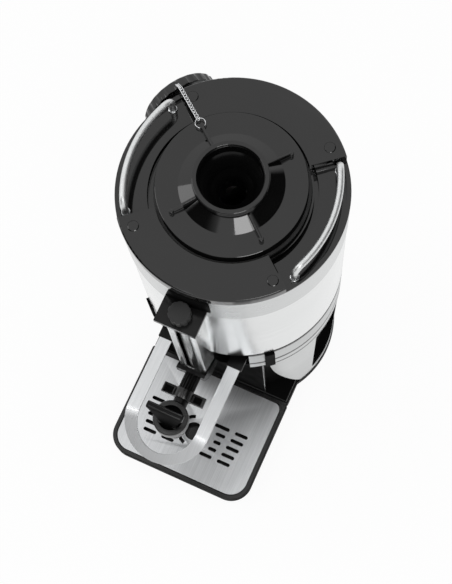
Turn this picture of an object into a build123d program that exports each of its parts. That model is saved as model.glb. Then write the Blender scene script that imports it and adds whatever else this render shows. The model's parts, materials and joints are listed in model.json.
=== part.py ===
from build123d import *
import os
from math import asin, atan2, cos, pi, radians, sin, sqrt

os.makedirs("parts", exist_ok=True)

# Frame: +Z up, the faucet side faces -Y, the origin is on the body's axis at table level. Millimetres.

# Shared clearances, and how far a cut runs past what it cuts
REST_GAP = 0.3
RUN_GAP = 0.06
OVERRUN = 10.0
HALF_SHARE = 0.5
RIGHT_ANGLE = 90.0
HALF_TURN = 180.0
FULL_TURN = 360.0

# Stand
BASE_FLANGE_H = 11.0
BASE_STEP_H = 14.0
BASE_LIP = 1.2
BASE_HALF_W = 97.0
BASE_STEP_INSET = 2.0
BASE_FLOOR = 5.0
BASE_LEDGE = 11.0
STEP_GAP = 1.0
SKIRT_H = 195.0
SKIRT_TAPER = 4.0
SKIRT_WALL = 1.2
ARCH_TOP_HALF_W = 74.5
ARCH_GAP = 2.6
ARCH_SHARES = ((0, 1), (0.188, 0.662), (0.411, 0.462), (0.64, 0.277), (0.896, 0.072), (1, 0))
WINDOW_HALF_W = 36.0
WINDOW_SILL = 16.0
WINDOW_HEAD = 5.0
WINDOW_CORNER_R = 8.0
CORE_GAP = 10.8
CORE_WALL = 3.0
CORE_FLAT = 13.0
DECK_H = 5.5
PANEL_T = 3.0
PANEL_SET = 1.0
PANEL_SIDE_GAP = 8.5
LOWER_BAND_H = 20.0
RIM_H = 40.2
STAND_BAND_T = 4.0
RIM_SIDE_GAP = 4.4
SEAM_GAP = 0.8
SEAM_DEPTH = 0.6
SEAM_H = 0.9
CLIP_T = 3.0
CLIP_END_GAP = 3.0
CLIP_DEG = 50.0
CLIP_HALF_DEG = 2.8

# Drip tray and its cover
TRAY_HALF_W = 97.3
TRAY_DEPTH = 146.5
TRAY_H = 22.0
TRAY_RIM = 5.5
TRAY_CORNER_R = 28.0
TRAY_REAR_CORNER_R = 3.0
TRAY_LEDGE = 5.0
TRAY_FLOOR = 3.0
COVER_PLATE_T = 1.5
COVER_PLATE_DROP = 1.2
COVER_GAP = 0.5
HOLE_BACK = 83.2
HOLE_R = 11.9
ARC_OUT = 7.4
ARC_SPAN_DEG = 28.0
ARC_COUNT = 6
SLOT_W = 4.6
SLOT_ROWS = 5
SLOT_PITCH = 10.5
SLOT_SHIFT = 1.5
SLOT_LEAN = 1.7
SLOT_CLEAR = 9.9
SLOT_INNER_REACH = 13.6
SLOT_GAP = 7.8
SLOT_LONG = 18.0

# Server body and inner tank
BODY_R = 117.0
BODY_H = 224.0
SHELL_WALL = 1.2
BODY_EDGE_R = 2.4
UPPER_BAND_T = 0.8
UPPER_BAND_H = 53.0
VACUUM_GAP = 12.8
TANK_WALL = 1.0
TANK_FLOOR_UP = 12.0
TANK_SHOULDER_H = 14.0
TANK_NECK_H = 12.0
NECK_STEP = 1.5

# Bottom housing and outlet
HOUSING_H = 59.0
HOUSING_GAP = 4.0
HOUSING_WALL = 3.0
HOUSING_FLAT = 9.5
OUTLET_R = 8.0
OUTLET_WALL = 2.0
OUTLET_UP = 3.0
OUTLET_BACK = 19.5

# Collar with its two handle recesses
COLLAR_H = 13.0
COLLAR_DEPTH = 17.0
COLLAR_LIP = 1.0
COLLAR_EDGE_R = 2.0
COLLAR_W = 37.5
INSET_GAP = 0.3
LEDGE_W = 7.5
LEDGE_H = 4.0
RECESS_HALF_DEG = 39.3
RECESS_DEPTH = 16.0
RECESS_FOOT_R = 3.0
STRIP_W = 4.5
STRIP_DEPTH = 11.0
FINGER_SLOT_W = 4.5
FINGER_SLOT_DEPTH = 24.0
INNER_WALL = 2.0
INNER_DEPTH = 14.0
HOLLOW_HALF_DEG = 36.0
HOLLOW_WALL = 3.0

# Collar screws and their covers
SCREW_COUNT = 4
SCREW_DEG = 46.5
SCREW_INSET = 13.0
SCREW_R = 2.2
SCREW_HEAD_R = 4.5
SCREW_HEAD_H = 3.0
SCREW_TIP_GAP = 3.0
SEAT_DEPTH = 8.0
COVER_R = 5.8
COVER_H = 3.5
COVER_PROUD = 0.2

# Handles
ROD_R = 3.6
ROD_BEND_R = 9.0
ROD_ARC_R = 127.0
ROD_SOCKET = 10.0
HANDLE_RISE = 24.5
FOOT_DEG = 33.3
HANDLE_TURN_DEG = 1.7
FERRULE_T = 1.2
FERRULE_H = 2.6
FERRULE_GAP = 0.1

# Lid
LID_GAP = 3.5
LID_SINK = 14.0
LID_H = 22.0
LID_EDGE = 2.0
LID_WALL = 3.5
NECK_R = 38.0
NECK_H = 13.0
NECK_WALL = 4.5
CONE_W = 15.0
CONE_H = 6.5
THREAD_OUT = 0.7
THREAD_H = 1.6
THREAD_DROPS = (9.0, 4.5)
RIB_COUNT = 4
RIB_DEG = 50.5
RIB_END_IN = 10.5
RIB_T = 2.6
RIB_HIGH = 11.0
RIB_LOW = 6.5
RIB_KNOB_R = 2.6
RIB_SINK = 2.0
GASKET_GAP = 0.6
GASKET_UP = 4.5
GASKET_H = 3.5
FUNNEL_WALL = 2.2
FUNNEL_LIP_DROP = 2.5
FUNNEL_STEP_DROP = 8.5
FUNNEL_STEP_IN = 1.8
FUNNEL_THROAT_DROP = 42.0
FUNNEL_TUBE_R = 16.0
FUNNEL_TUBE_LEN = 21.5

# Split ring, chain and hanging cap, on the radius of one rib
CHAIN_RIB = 1
CHAIN_UP = 4.2
CHAIN_HOLE_R = 1.9
CHAIN_HOLE_IN = 0.4
RING_R = 5.0
RING_WIRE = 1.6
RING_SLIT_DEG = 12.0
RING_SLIT_AT_DEG = 62.0
RING_PLAY = 0.1
LINK_WIRE = 0.9
LINK_LONG = 5.6
LINK_WIDE = 4.2
LINK_PLAY = 0.3
CHAIN_RUN_LINKS = 12
CHAIN_RUN_DEG = 11.7
CHAIN_FALL_DEGS = (27.0, 42.0, 52.0, 52.0, 52.0, 52.0)
CAP_GAP = 0.3
CAP_SIDE_WALL = 2.8
CAP_T = 10.1
CAP_WALL = 3.0
CAP_EDGE = 1.5
CAP_SCALLOPS = 24
CAP_SCALLOP_R = 8.0
CAP_SCALLOP_DEPTH = 1.2
CAP_LEAN_DEG = 5.7
CAP_YAW_DEG = 5.6
CAP_LUG_R = 3.0
CAP_LUG_T = 2.2
CAP_LUG_HOLE_R = 1.7
CAP_LUG_RISE = 3.4
CAP_LUG_IN = 3.0
CAP_LUG_SINK_SHARE = 0.6

# Sight gauge
PLATE_HALF_W = 23.1
PLATE_FRONT = 14.9
PLATE_DROP = 34.0
PLATE_T = 6.0
BOSS_WALL = 4.0
BOSS_H = 13.0
KNOB_R = 11.8
KNOB_H = 13.0
KNOB_EDGE = 1.0
KNOB_SCALLOPS = 10
KNOB_SCALLOP_R = 2.2
KNOB_SCALLOP_DEPTH = 1.0
KNOB_GAP = 0.8
KNOB_STEM_R = 5.6
KNOB_STEM_H = 4.0
STEM_GAP = 1.5
SHROUD_HALF_W = 16.0
SHROUD_FRONT = 10.6
SHROUD_SINK = 3.0
SHROUD_WALL = 1.5
SHROUD_CORNER_R = 6.0
SLOT_HALF_W = 4.5
SLOT_FOOT_UP = 15.0
SLOT_HEAD_DROP = 19.0
GLASS_R = 6.5
GLASS_WALL = 1.4
GLASS_SOCKET = 8.0
SEAL_H = 2.0
SEAL_HOLE_R = 4.2
FOOT_SIDE = 1.7
FOOT_PROUD = 4.0
FOOT_BEVEL = 13.0
FOOT_LIP_UP = 13.0
FOOT_WALL = 3.1
FOOT_ROOF = 1.7
FOOT_SLOPE_H = 16.0
FOOT_BOSS_H = 17.0

# Faucet
COUPLING_R = 9.8
COUPLING_LEN = 61.5
RIB_DEPTH = 0.7
COUPLING_RIBS = 18
SPIGOT_R = 7.0
SPIGOT_LEN = 7.0
FAUCET_BORE_R = 5.0
NUT_T = 11.7
NUT_HUB_R = 12.0
NUT_HALF_W = 26.6
NUT_WING_T = 8.0
NUT_WING_SINK = 3.0
NUT_WING_EDGE = 2.0
NECK_LEN = 27.0
NECK_DROP = 0.2
BARREL_R = 16.0
BARREL_WALL = 4.0
BARREL_UP = 9.0
BARREL_DOWN = 32.0
BARREL_EDGE = 3.0
SEAT_UP = 13.0
SPOUT_R = 11.0
SPOUT_WALL = 3.0
SPOUT_LEN = 14.0
BONNET_WALL = 4.6
BONNET_SKIRT = 7.0
BONNET_FLOOR = 3.5
BONNET_CUP = 6.5
BONNET_CUP_WALL = 6.0
BONNET_EDGE = 1.2
PIN_R = 1.5
PIN_AHEAD = 7.0
PIN_UP = 4.5
LUG_T = 3.5
LUG_HALF_Y = 3.5
LUG_UP = 3.5
HUB_HALF_W = 7.6
HUB_GAP = 0.6
HUB_SIDE_GAP = 0.4
LEVER_T = 6.4
LEVER_NECK_HALF = 6.4
LEVER_NECK_UP = 4.0
LEVER_WIDE_HALF = 20.8
LEVER_WIDE_UP = 48.0
LEVER_LEN = 58.0
LEVER_BAR_HALF = 22.2
LEVER_BAR_T = 8.0
LEVER_BAR_EDGE = 2.5
LEVER_LEAN_DEG = 4.5
FORK_SIDE_GAP = 1.5
FORK_W = 2.8
FORK_T = 1.8
FORK_GAP = 0.6
FORK_PAST = 2.5
STEM_R = 2.5
STEM_PAST = 1.7
STEM_SINK = 6.0
CROSS_R = 1.3
CROSS_HALF = 6.6
CROSS_UP = 5.8
CUP_GAP = 1.5
CUP_H = 9.7
SPRING_R = 6.4
SPRING_WIRE = 1.2
SPRING_TURNS = 4
SPRING_END_GAP = 0.1

# Faucet guard
GUARD_UP = 24.0
GUARD_T = 2.0
GUARD_OUT_HALF = 50.8
GUARD_STRIP = 15.3
GUARD_FRONT_STRIP = 11.5
GUARD_LEN = 155.8
GUARD_BEND_AHEAD = 10.0
GUARD_TURN_R = 50.4
GUARD_DIP_DEG = 18.0
GUARD_TAB_H = 15.0
GUARD_SCREW_R = 2.0
GUARD_SCREW_PAST = 5.5
GUARD_HEAD_R = 4.0
GUARD_HEAD_H = 2.2

# Heights, from the table up
flange_z = BASE_FLANGE_H
step_z = flange_z + BASE_STEP_H
skirt_z = flange_z + SKIRT_H
band_z = skirt_z + LOWER_BAND_H
rim_z = band_z + RIM_H
body_z = rim_z + SEAM_GAP
shell_z = body_z + BODY_H
collar_z = shell_z + COLLAR_H
collar_low_z = shell_z - COLLAR_DEPTH
housing_z = body_z - HOUSING_H
deck_z = housing_z - REST_GAP
deck_low_z = deck_z - DECK_H
faucet_z = housing_z + HOUSING_WALL + OUTLET_UP + OUTLET_R

# Radii and fronts that several pieces share
skirt_low_r = BODY_R - SKIRT_TAPER
core_r = skirt_low_r - SKIRT_WALL - CORE_GAP
deck_r = BODY_R - STAND_BAND_T
housing_r = deck_r - HOUSING_GAP
upper_band_r = BODY_R + UPPER_BAND_T
opening_r = BODY_R - COLLAR_W
core_front_y = -(core_r - CORE_FLAT)
panel_front_y = core_front_y - PANEL_T
base_front_y = panel_front_y - PANEL_SET
housing_front_y = -(housing_r - HOUSING_FLAT)

BOTTOM = (Align.CENTER, Align.CENTER, Align.MIN)


def rod(radius, low, high, x=0, y=0):
    return Pos(x, y, low) * Cylinder(radius, high - low, align=BOTTOM)


def rod_y(radius, back, front, z, x=0):
    return Pos(x, back, z) * Rot(RIGHT_ANGLE, 0, 0) * Cylinder(radius, back - front, align=BOTTOM)


def rod_x(radius, half, y, z):
    return Pos(0, y, z) * Rot(0, RIGHT_ANGLE, 0) * Cylinder(radius, half + half)


def box(x0, x1, y0, y1, z0, z1):
    centre = Pos((x0 + x1) * HALF_SHARE, (y0 + y1) * HALF_SHARE, (z0 + z1) * HALF_SHARE)
    return centre * Box(x1 - x0, y1 - y0, z1 - z0)


def turned(points):
    outline = Polyline(*[(r, 0, z) for r, z in points], close=True)
    return revolve(make_face(outline), Axis.Z)


def tube(outer, inner, low, high):
    return turned([(inner, low), (outer, low), (outer, high), (inner, high)])


def wedge(centre_deg, half_deg, low, high):
    reach = BODY_R + BODY_R
    turns = [radians(centre_deg + k * half_deg) for k in (-1, 0, 1)]
    corners = [(reach * cos(turn), reach * sin(turn), low) for turn in turns]
    outline = make_face(Polyline((0, 0, low), *corners, close=True))
    return extrude(outline, amount=high - low, dir=(0, 0, 1))


def prism_x(points, half):
    outline = make_face(Polyline(*[(-half, y, z) for y, z in points], close=True))
    return extrude(outline, amount=half + half, dir=(1, 0, 0))


def prism_y(points, back, front):
    outline = make_face(Polyline(*[(x, back, z) for x, z in points], close=True))
    return extrude(outline, amount=back - front, dir=(0, -1, 0))


def scalloped(radius, low, high, edge, count, cut_r, depth):
    body = rod(radius, low, high)
    body = chamfer(body.edges().group_by(Axis.Z)[-1], edge)
    reach = radius + cut_r - depth
    for k in range(count):
        turn = radians((k + HALF_SHARE) * FULL_TURN / count)
        body -= rod(cut_r, low - OVERRUN, high + OVERRUN, reach * cos(turn), reach * sin(turn))
    return body


def save(name, shape):
    shape.label = name
    export_step(shape, f"parts/{name}.step")


def group(shapes):
    return Compound(children=[s for shape in shapes for s in shape.solids()])


# Stand base: round flange and step, straight shoulder at the front, pocket under the column
def base_layer(radius, half_w, low, high):
    layer = rod(radius, low, high) + box(-half_w, half_w, base_front_y, 0, low, high)
    reach = BODY_R + half_w
    return layer - box(-reach, reach, base_front_y - reach, base_front_y, low - OVERRUN, high + OVERRUN)


base = base_layer(skirt_low_r + BASE_LIP, BASE_HALF_W, 0, flange_z)
base += base_layer(skirt_low_r - SKIRT_WALL - STEP_GAP, BASE_HALF_W - BASE_STEP_INSET, flange_z, step_z)
pocket = rod(core_r - BASE_LEDGE, BASE_FLOOR, step_z + OVERRUN)
pocket_front = core_front_y + CORE_WALL + CORE_WALL
pocket -= box(-BODY_R, BODY_R, -BODY_R, pocket_front, 0, step_z + OVERRUN + OVERRUN)
save("stand_base", base - pocket)

# Skirt: tapered sheet with the front arch and a window through both sides
skirt = turned([
    (skirt_low_r - SKIRT_WALL, flange_z),
    (skirt_low_r, flange_z),
    (BODY_R, skirt_z),
    (BODY_R - SKIRT_WALL, skirt_z),
])
arch_flare = BASE_HALF_W + ARCH_GAP - ARCH_TOP_HALF_W
arch = [(ARCH_TOP_HALF_W + out_share * arch_flare, flange_z + up_share * SKIRT_H)
        for out_share, up_share in ARCH_SHARES]
arch_sides = [Spline(*[(side * x, 0, z) for x, z in arch]) for side in (-1, 1)]
arch_ends = [Line((-x, 0, z), (x, 0, z)) for x, z in (arch[0], arch[-1])]
skirt -= extrude(make_face(arch_sides + arch_ends), amount=BODY_R + OVERRUN, dir=(0, -1, 0))
window_out = BODY_R + OVERRUN
window = box(-window_out, window_out, -WINDOW_HALF_W, WINDOW_HALF_W,
             flange_z + WINDOW_SILL, skirt_z - WINDOW_HEAD)
skirt -= fillet(window.edges().filter_by(Axis.X), WINDOW_CORNER_R)
save("stand_skirt", skirt)


# Column with a flat front, and the deck that carries the server
def column(radius, front, low):
    flat = box(-BODY_R, BODY_R, -BODY_R - OVERRUN, front, low - OVERRUN, deck_z + OVERRUN)
    return rod(radius, low, deck_low_z) - flat


core = column(core_r, core_front_y, step_z)
core -= column(core_r - CORE_WALL, core_front_y + CORE_WALL, step_z - OVERRUN)
save("stand_core", core + rod(deck_r, deck_low_z, deck_z))
panel_half = arch[0][0] - PANEL_SIDE_GAP
save("stand_front_panel", box(-panel_half, panel_half, panel_front_y, core_front_y, step_z, deck_low_z))


# Bands on the skirt, open at the front for the guard, with a fine seam line at each lower edge
def band(low, high):
    ring = tube(BODY_R, deck_r, low, high)
    ring -= tube(BODY_R + OVERRUN, BODY_R - SEAM_DEPTH, low - OVERRUN, low + SEAM_H)
    half = GUARD_OUT_HALF + RIM_SIDE_GAP
    return ring - box(-half, half, -BODY_R - OVERRUN, 0, low - OVERRUN, high + OVERRUN)


save("stand_band", band(skirt_z, band_z))
save("stand_rim", band(band_z, rim_z))
clip_ring = tube(BODY_R + CLIP_T, BODY_R, skirt_z + CLIP_END_GAP, rim_z - CLIP_END_GAP)
clips = [clip_ring & wedge(deg, CLIP_HALF_DEG, 0, body_z) for deg in (-CLIP_DEG, CLIP_DEG - HALF_TURN)]
save("stand_clips", group(clips))

# Drip tray: a rounded pan with a ledge for the cover
tray_back_y = base_front_y - REST_GAP


def pan(inset, low, high):
    half = TRAY_HALF_W - inset
    block = box(-half, half, tray_back_y - TRAY_DEPTH + inset, tray_back_y - inset, low, high)
    block = fillet(block.edges().filter_by(Axis.Z).group_by(Axis.Y)[0], TRAY_CORNER_R - inset)
    return fillet(block.edges().filter_by(Axis.Z).group_by(Axis.Y)[-1], TRAY_REAR_CORNER_R + inset)


plate_cover_z = TRAY_H - COVER_PLATE_DROP
plate_cover_low = plate_cover_z - COVER_PLATE_T
tray = pan(0, 0, TRAY_H) - pan(TRAY_RIM, plate_cover_low - REST_GAP, TRAY_H + OVERRUN)
save("drip_tray", tray - pan(TRAY_RIM + TRAY_LEDGE, TRAY_FLOOR, TRAY_H + OVERRUN))


def slot_at(x0, x1, y):
    round_r = SLOT_W * HALF_SHARE
    cut = box(x0 + round_r, x1 - round_r, y - round_r, y + round_r, 0, TRAY_H)
    return cut + rod(round_r, 0, TRAY_H, x0 + round_r, y) + rod(round_r, 0, TRAY_H, x1 - round_r, y)


# Cover: a drain hole in a ring of six arcs, and rows of slots that step inwards towards the front
hole_y = tray_back_y - HOLE_BACK
arc_r = HOLE_R + ARC_OUT
clear_r = arc_r + SLOT_CLEAR
cover = pan(TRAY_RIM + COVER_GAP, plate_cover_low, plate_cover_z)
cover -= rod(HOLE_R, 0, TRAY_H, 0, hole_y)
arc_ring = tube(arc_r + SLOT_W * HALF_SHARE, arc_r - SLOT_W * HALF_SHARE, 0, TRAY_H)
for k in range(ARC_COUNT):
    arc_slot = arc_ring & wedge(k * FULL_TURN / ARC_COUNT, ARC_SPAN_DEG * HALF_SHARE, 0, TRAY_H)
    cover -= Pos(0, hole_y, 0) * arc_slot
for row in range(SLOT_ROWS):
    row_out = (SLOT_ROWS - 1) * HALF_SHARE * SLOT_PITCH - row * SLOT_PITCH - SLOT_SHIFT
    inner_end = clear_r + SLOT_INNER_REACH - row * SLOT_LEAN
    outer_start = inner_end + SLOT_GAP
    near = sqrt(clear_r ** 2 - row_out ** 2)
    for x0, x1 in ((outer_start, outer_start + SLOT_LONG), (near, inner_end)):
        cover -= slot_at(x0, x1, hole_y + row_out)
        cover -= slot_at(-x1, -x0, hole_y + row_out)
save("drip_tray_cover", cover)

# Outer shell: a steel can with a rounded lower edge and a hole for the outlet
tank_floor_z = body_z + TANK_FLOOR_UP
outlet_y = housing_front_y + OUTLET_BACK
can = rod(BODY_R, body_z, shell_z)
can = fillet(can.edges().group_by(Axis.Z)[0], BODY_EDGE_R)
can -= rod(BODY_R - SHELL_WALL, body_z + SHELL_WALL, shell_z + OVERRUN)
outlet_hole = rod(OUTLET_R, housing_z, tank_floor_z + OVERRUN, 0, outlet_y)
save("outer_shell", can - outlet_hole)
upper_band_z = shell_z - UPPER_BAND_H
save("upper_band", tube(upper_band_r, BODY_R, upper_band_z, shell_z))

# Inner tank: floor, wall, shoulder, neck and the flange that carries the collar
tank_r = BODY_R - SHELL_WALL - VACUUM_GAP
tank_neck_r = opening_r + NECK_STEP
neck_low_z = collar_low_z - TANK_NECK_H
shoulder_z = neck_low_z - TANK_SHOULDER_H
tank = turned([
    (0, tank_floor_z),
    (tank_r, tank_floor_z),
    (tank_r, shoulder_z),
    (tank_neck_r, neck_low_z),
    (tank_neck_r, collar_low_z - TANK_WALL),
    (BODY_R - SHELL_WALL, collar_low_z - TANK_WALL),
    (BODY_R - SHELL_WALL, collar_low_z),
    (tank_neck_r - TANK_WALL, collar_low_z),
    (tank_neck_r - TANK_WALL, neck_low_z),
    (tank_r - TANK_WALL, shoulder_z),
    (tank_r - TANK_WALL, tank_floor_z + TANK_WALL),
    (0, tank_floor_z + TANK_WALL),
])
save("inner_tank", tank - outlet_hole)

# Bottom housing: a black cup with a flat front
guard_z = faucet_z + GUARD_UP
guard_mid = GUARD_OUT_HALF - GUARD_STRIP * HALF_SHARE
screw_z = guard_z - GUARD_TAB_H * HALF_SHARE
screw_tip_y = housing_front_y + HOUSING_WALL + GUARD_SCREW_PAST
front_cut = box(-BODY_R, BODY_R, -BODY_R - OVERRUN, housing_front_y, 0, shell_z)
housing = rod(housing_r, housing_z, body_z) - front_cut
inside = rod(housing_r - HOUSING_WALL, housing_z + HOUSING_WALL, body_z)
housing -= inside - Pos(0, HOUSING_WALL, 0) * front_cut
housing -= rod_y(OUTLET_R, outlet_y, housing_front_y - OVERRUN, faucet_z)
for side in (-1, 1):
    housing -= rod_y(GUARD_SCREW_R, screw_tip_y, housing_front_y - OVERRUN, screw_z, side * guard_mid)
save("bottom_housing", housing)


def elbow(radius):
    upright = rod(radius, faucet_z, tank_floor_z + TANK_WALL, 0, outlet_y)
    forward = rod_y(radius, outlet_y, housing_front_y, faucet_z)
    return upright + Pos(0, outlet_y, faucet_z) * Sphere(radius) + forward


save("outlet_tube", elbow(OUTLET_R) - elbow(OUTLET_R - OUTLET_WALL))

# Collar: a thick ring, rounded on top, hollow under its raised parts, with two stepped handle recesses
# and a ledge inside that the lid rests on
collar_r = BODY_R + COLLAR_LIP
inset_r = BODY_R - SHELL_WALL - INSET_GAP
lid_low_z = collar_z - LID_SINK
ledge_z = lid_low_z - REST_GAP
recess_z = collar_z - RECESS_DEPTH
strip_r = collar_r - STRIP_W
slot_in_r = opening_r + INNER_WALL
slot_out_r = slot_in_r + FINGER_SLOT_W
collar = tube(collar_r, opening_r, shell_z, collar_z)
collar = fillet(collar.edges().group_by(Axis.Z)[-1].sort_by(SortBy.RADIUS)[-1], COLLAR_EDGE_R)
collar += tube(inset_r, opening_r, collar_low_z, shell_z)
recess_steps = (
    (opening_r - OVERRUN, slot_in_r, collar_z - INNER_DEPTH),
    (slot_in_r, slot_out_r, collar_z - FINGER_SLOT_DEPTH),
    (slot_out_r, strip_r, recess_z),
    (strip_r, collar_r + OVERRUN, collar_z - STRIP_DEPTH),
)
recess = turned([(opening_r - OVERRUN, collar_z + OVERRUN)]
                + [(r, z) for r0, r1, z in recess_steps for r in (r0, r1)]
                + [(collar_r + OVERRUN, collar_z + OVERRUN)])
under = tube(inset_r - HOLLOW_WALL, opening_r + HOLLOW_WALL, 0, collar_z - HOLLOW_WALL)
for deg in (0, HALF_TURN):
    collar -= recess & wedge(deg, RECESS_HALF_DEG, 0, collar_z + OVERRUN + OVERRUN)
    collar -= under & wedge(deg + RIGHT_ANGLE, HOLLOW_HALF_DEG, 0, collar_z)
    for side in (-1, 1):
        y0, y1 = sorted((0, -side * RECESS_FOOT_R))
        foot = box(slot_out_r, strip_r, y0, y1, recess_z, recess_z + RECESS_FOOT_R)
        foot -= rod_x(RECESS_FOOT_R, collar_r, -side * RECESS_FOOT_R, recess_z + RECESS_FOOT_R)
        collar += Rot(0, 0, deg + side * RECESS_HALF_DEG) * foot
collar += tube(opening_r, opening_r - LEDGE_W, ledge_z - LEDGE_H, ledge_z)
screw_r = collar_r - SCREW_INSET
screw_turns = [radians(SCREW_DEG + k * FULL_TURN / SCREW_COUNT) for k in range(SCREW_COUNT)]
screw_spots = [(screw_r * cos(turn), screw_r * sin(turn)) for turn in screw_turns]
seat_z = collar_z - SEAT_DEPTH
tip_z = collar_low_z + SCREW_TIP_GAP
for x, y in screw_spots:
    collar -= rod(COVER_R, seat_z, collar_z + OVERRUN, x, y)
    collar -= rod(SCREW_R, tip_z, collar_z, x, y)

# Handles: two feet, two bends and a flat arc between them
ferrule_r = ROD_R + FERRULE_T
foot_r = strip_r - ferrule_r - FERRULE_GAP
foot_x = foot_r * cos(radians(FOOT_DEG))
foot_y = foot_r * sin(radians(FOOT_DEG))
foot_z = recess_z - ROD_SOCKET
rod_top_z = recess_z + HANDLE_RISE
bend_z = rod_top_z - ROD_BEND_R
sweep_turn = asin(foot_y / sqrt(ROD_ARC_R ** 2 + ROD_BEND_R ** 2)) - atan2(ROD_BEND_R, ROD_ARC_R)
arc_end_x = foot_x + ROD_BEND_R * sin(sweep_turn)
arc_end_y = foot_y - ROD_BEND_R * cos(sweep_turn)
arc_mid_x = arc_end_x + ROD_ARC_R * (1 - cos(sweep_turn))
bend_in = ROD_BEND_R * (1 - cos(pi / 4))
bend_mid_x = foot_x + bend_in * sin(sweep_turn)
bend_mid_y = foot_y - bend_in * cos(sweep_turn)
path = Wire([
    Line((foot_x, -foot_y, foot_z), (foot_x, -foot_y, bend_z)),
    ThreePointArc((foot_x, -foot_y, bend_z), (bend_mid_x, -bend_mid_y, rod_top_z - bend_in),
                  (arc_end_x, -arc_end_y, rod_top_z)),
    ThreePointArc((arc_end_x, -arc_end_y, rod_top_z), (arc_mid_x, 0, rod_top_z),
                  (arc_end_x, arc_end_y, rod_top_z)),
    ThreePointArc((arc_end_x, arc_end_y, rod_top_z), (bend_mid_x, bend_mid_y, rod_top_z - bend_in),
                  (foot_x, foot_y, bend_z)),
    Line((foot_x, foot_y, bend_z), (foot_x, foot_y, foot_z)),
])
handle = sweep(Plane((foot_x, -foot_y, foot_z)) * Circle(ROD_R), path=path)
handle_turn = Rot(0, 0, HANDLE_TURN_DEG)
save("handle_right", handle_turn * handle)
save("handle_left", Rot(0, 0, HALF_TURN) * handle_turn * handle)
ferrules = []
for deg in (FOOT_DEG, HALF_TURN - FOOT_DEG, HALF_TURN + FOOT_DEG, -FOOT_DEG):
    turn = radians(HANDLE_TURN_DEG + deg)
    x, y = foot_r * cos(turn), foot_r * sin(turn)
    ferrules.append(Pos(x, y, 0) * tube(ferrule_r, ROD_R, recess_z, recess_z + FERRULE_H))
    collar -= rod(ROD_R, foot_z, collar_z, x, y)
save("handle_ferrules", group(ferrules))
save("collar", collar)
head_z = seat_z + SCREW_HEAD_H
screws = [rod(SCREW_R, tip_z, seat_z, x, y) + rod(SCREW_HEAD_R, seat_z, head_z, x, y)
          for x, y in screw_spots]
save("collar_screws", group(screws))
cover_z = collar_z + COVER_PROUD
save("screw_covers", group([rod(COVER_R, cover_z - COVER_H, cover_z, x, y) for x, y in screw_spots]))

# Lid: disc, cone, neck with two thread turns, four ribs with a knob at each end
lid_r = opening_r - LID_GAP
lid_z = lid_low_z + LID_H
cone_r = NECK_R + CONE_W
mouth_r = NECK_R - NECK_WALL
neck_z = lid_z + CONE_H
rim_lip_z = neck_z + NECK_H
thread_r = NECK_R + THREAD_OUT
lid = turned([
    (lid_r, lid_low_z),
    (lid_r, lid_z - LID_EDGE),
    (lid_r - LID_EDGE, lid_z),
    (cone_r, lid_z),
    (NECK_R, neck_z),
    (NECK_R, rim_lip_z),
    (mouth_r, rim_lip_z),
    (mouth_r, lid_z),
    (cone_r - LID_WALL, lid_z - LID_WALL),
    (lid_r - LID_WALL, lid_z - LID_WALL),
    (lid_r - LID_WALL, lid_low_z),
])
for drop in THREAD_DROPS:
    lid += tube(thread_r, mouth_r, rim_lip_z - drop, rim_lip_z - drop + THREAD_H)
rib_end_r = lid_r - RIB_END_IN
rib_low_z = lid_z - RIB_SINK
fin_outline = [
    (NECK_R - RIB_SINK, rib_low_z),
    (rib_end_r, rib_low_z),
    (rib_end_r, lid_z + RIB_LOW),
    (NECK_R - RIB_SINK, lid_z + RIB_HIGH),
]
rib_half = RIB_T * HALF_SHARE
rib = prism_y(fin_outline, rib_half, -rib_half) + rod(RIB_KNOB_R, rib_low_z, lid_z + RIB_LOW, rib_end_r)
for k in range(RIB_COUNT):
    lid += Rot(0, 0, RIB_DEG + k * FULL_TURN / RIB_COUNT) * rib
chain_turn = Rot(0, 0, RIB_DEG + CHAIN_RIB * FULL_TURN / RIB_COUNT)
chain_z = lid_z + CHAIN_UP
hole_r = rib_end_r - CHAIN_HOLE_IN
lid -= chain_turn * rod_y(CHAIN_HOLE_R, OVERRUN, -OVERRUN, chain_z, hole_r)
save("lid", lid)
gasket_z = lid_low_z + GASKET_UP
save("lid_gasket", tube(opening_r - GASKET_GAP, lid_r, gasket_z, gasket_z + GASKET_H))
step_r = mouth_r - FUNNEL_WALL - FUNNEL_STEP_IN
step_top_z = rim_lip_z - FUNNEL_STEP_DROP
step_low_z = step_top_z - FUNNEL_WALL - FUNNEL_WALL
throat_z = rim_lip_z - FUNNEL_THROAT_DROP
funnel = turned([
    (mouth_r, rim_lip_z - FUNNEL_LIP_DROP),
    (mouth_r - FUNNEL_WALL, step_top_z),
    (step_r, step_top_z),
    (FUNNEL_TUBE_R - FUNNEL_WALL, throat_z),
    (FUNNEL_TUBE_R - FUNNEL_WALL, throat_z - FUNNEL_TUBE_LEN),
    (FUNNEL_TUBE_R, throat_z - FUNNEL_TUBE_LEN),
    (FUNNEL_TUBE_R, throat_z - FUNNEL_WALL),
    (step_r, step_low_z),
    (mouth_r, step_low_z),
])
save("lid_funnel", funnel)

# Split ring through the rib's end
ring_r = hole_r + RING_R
ring_half = RING_WIRE * HALF_SHARE
ring = tube(RING_R + ring_half, RING_R - ring_half, -ring_half, ring_half)
ring -= wedge(RING_SLIT_AT_DEG, RING_SLIT_DEG * HALF_SHARE, -RING_WIRE, RING_WIRE)
save("chain_ring", chain_turn * Pos(ring_r, 0, chain_z) * ring)

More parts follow.
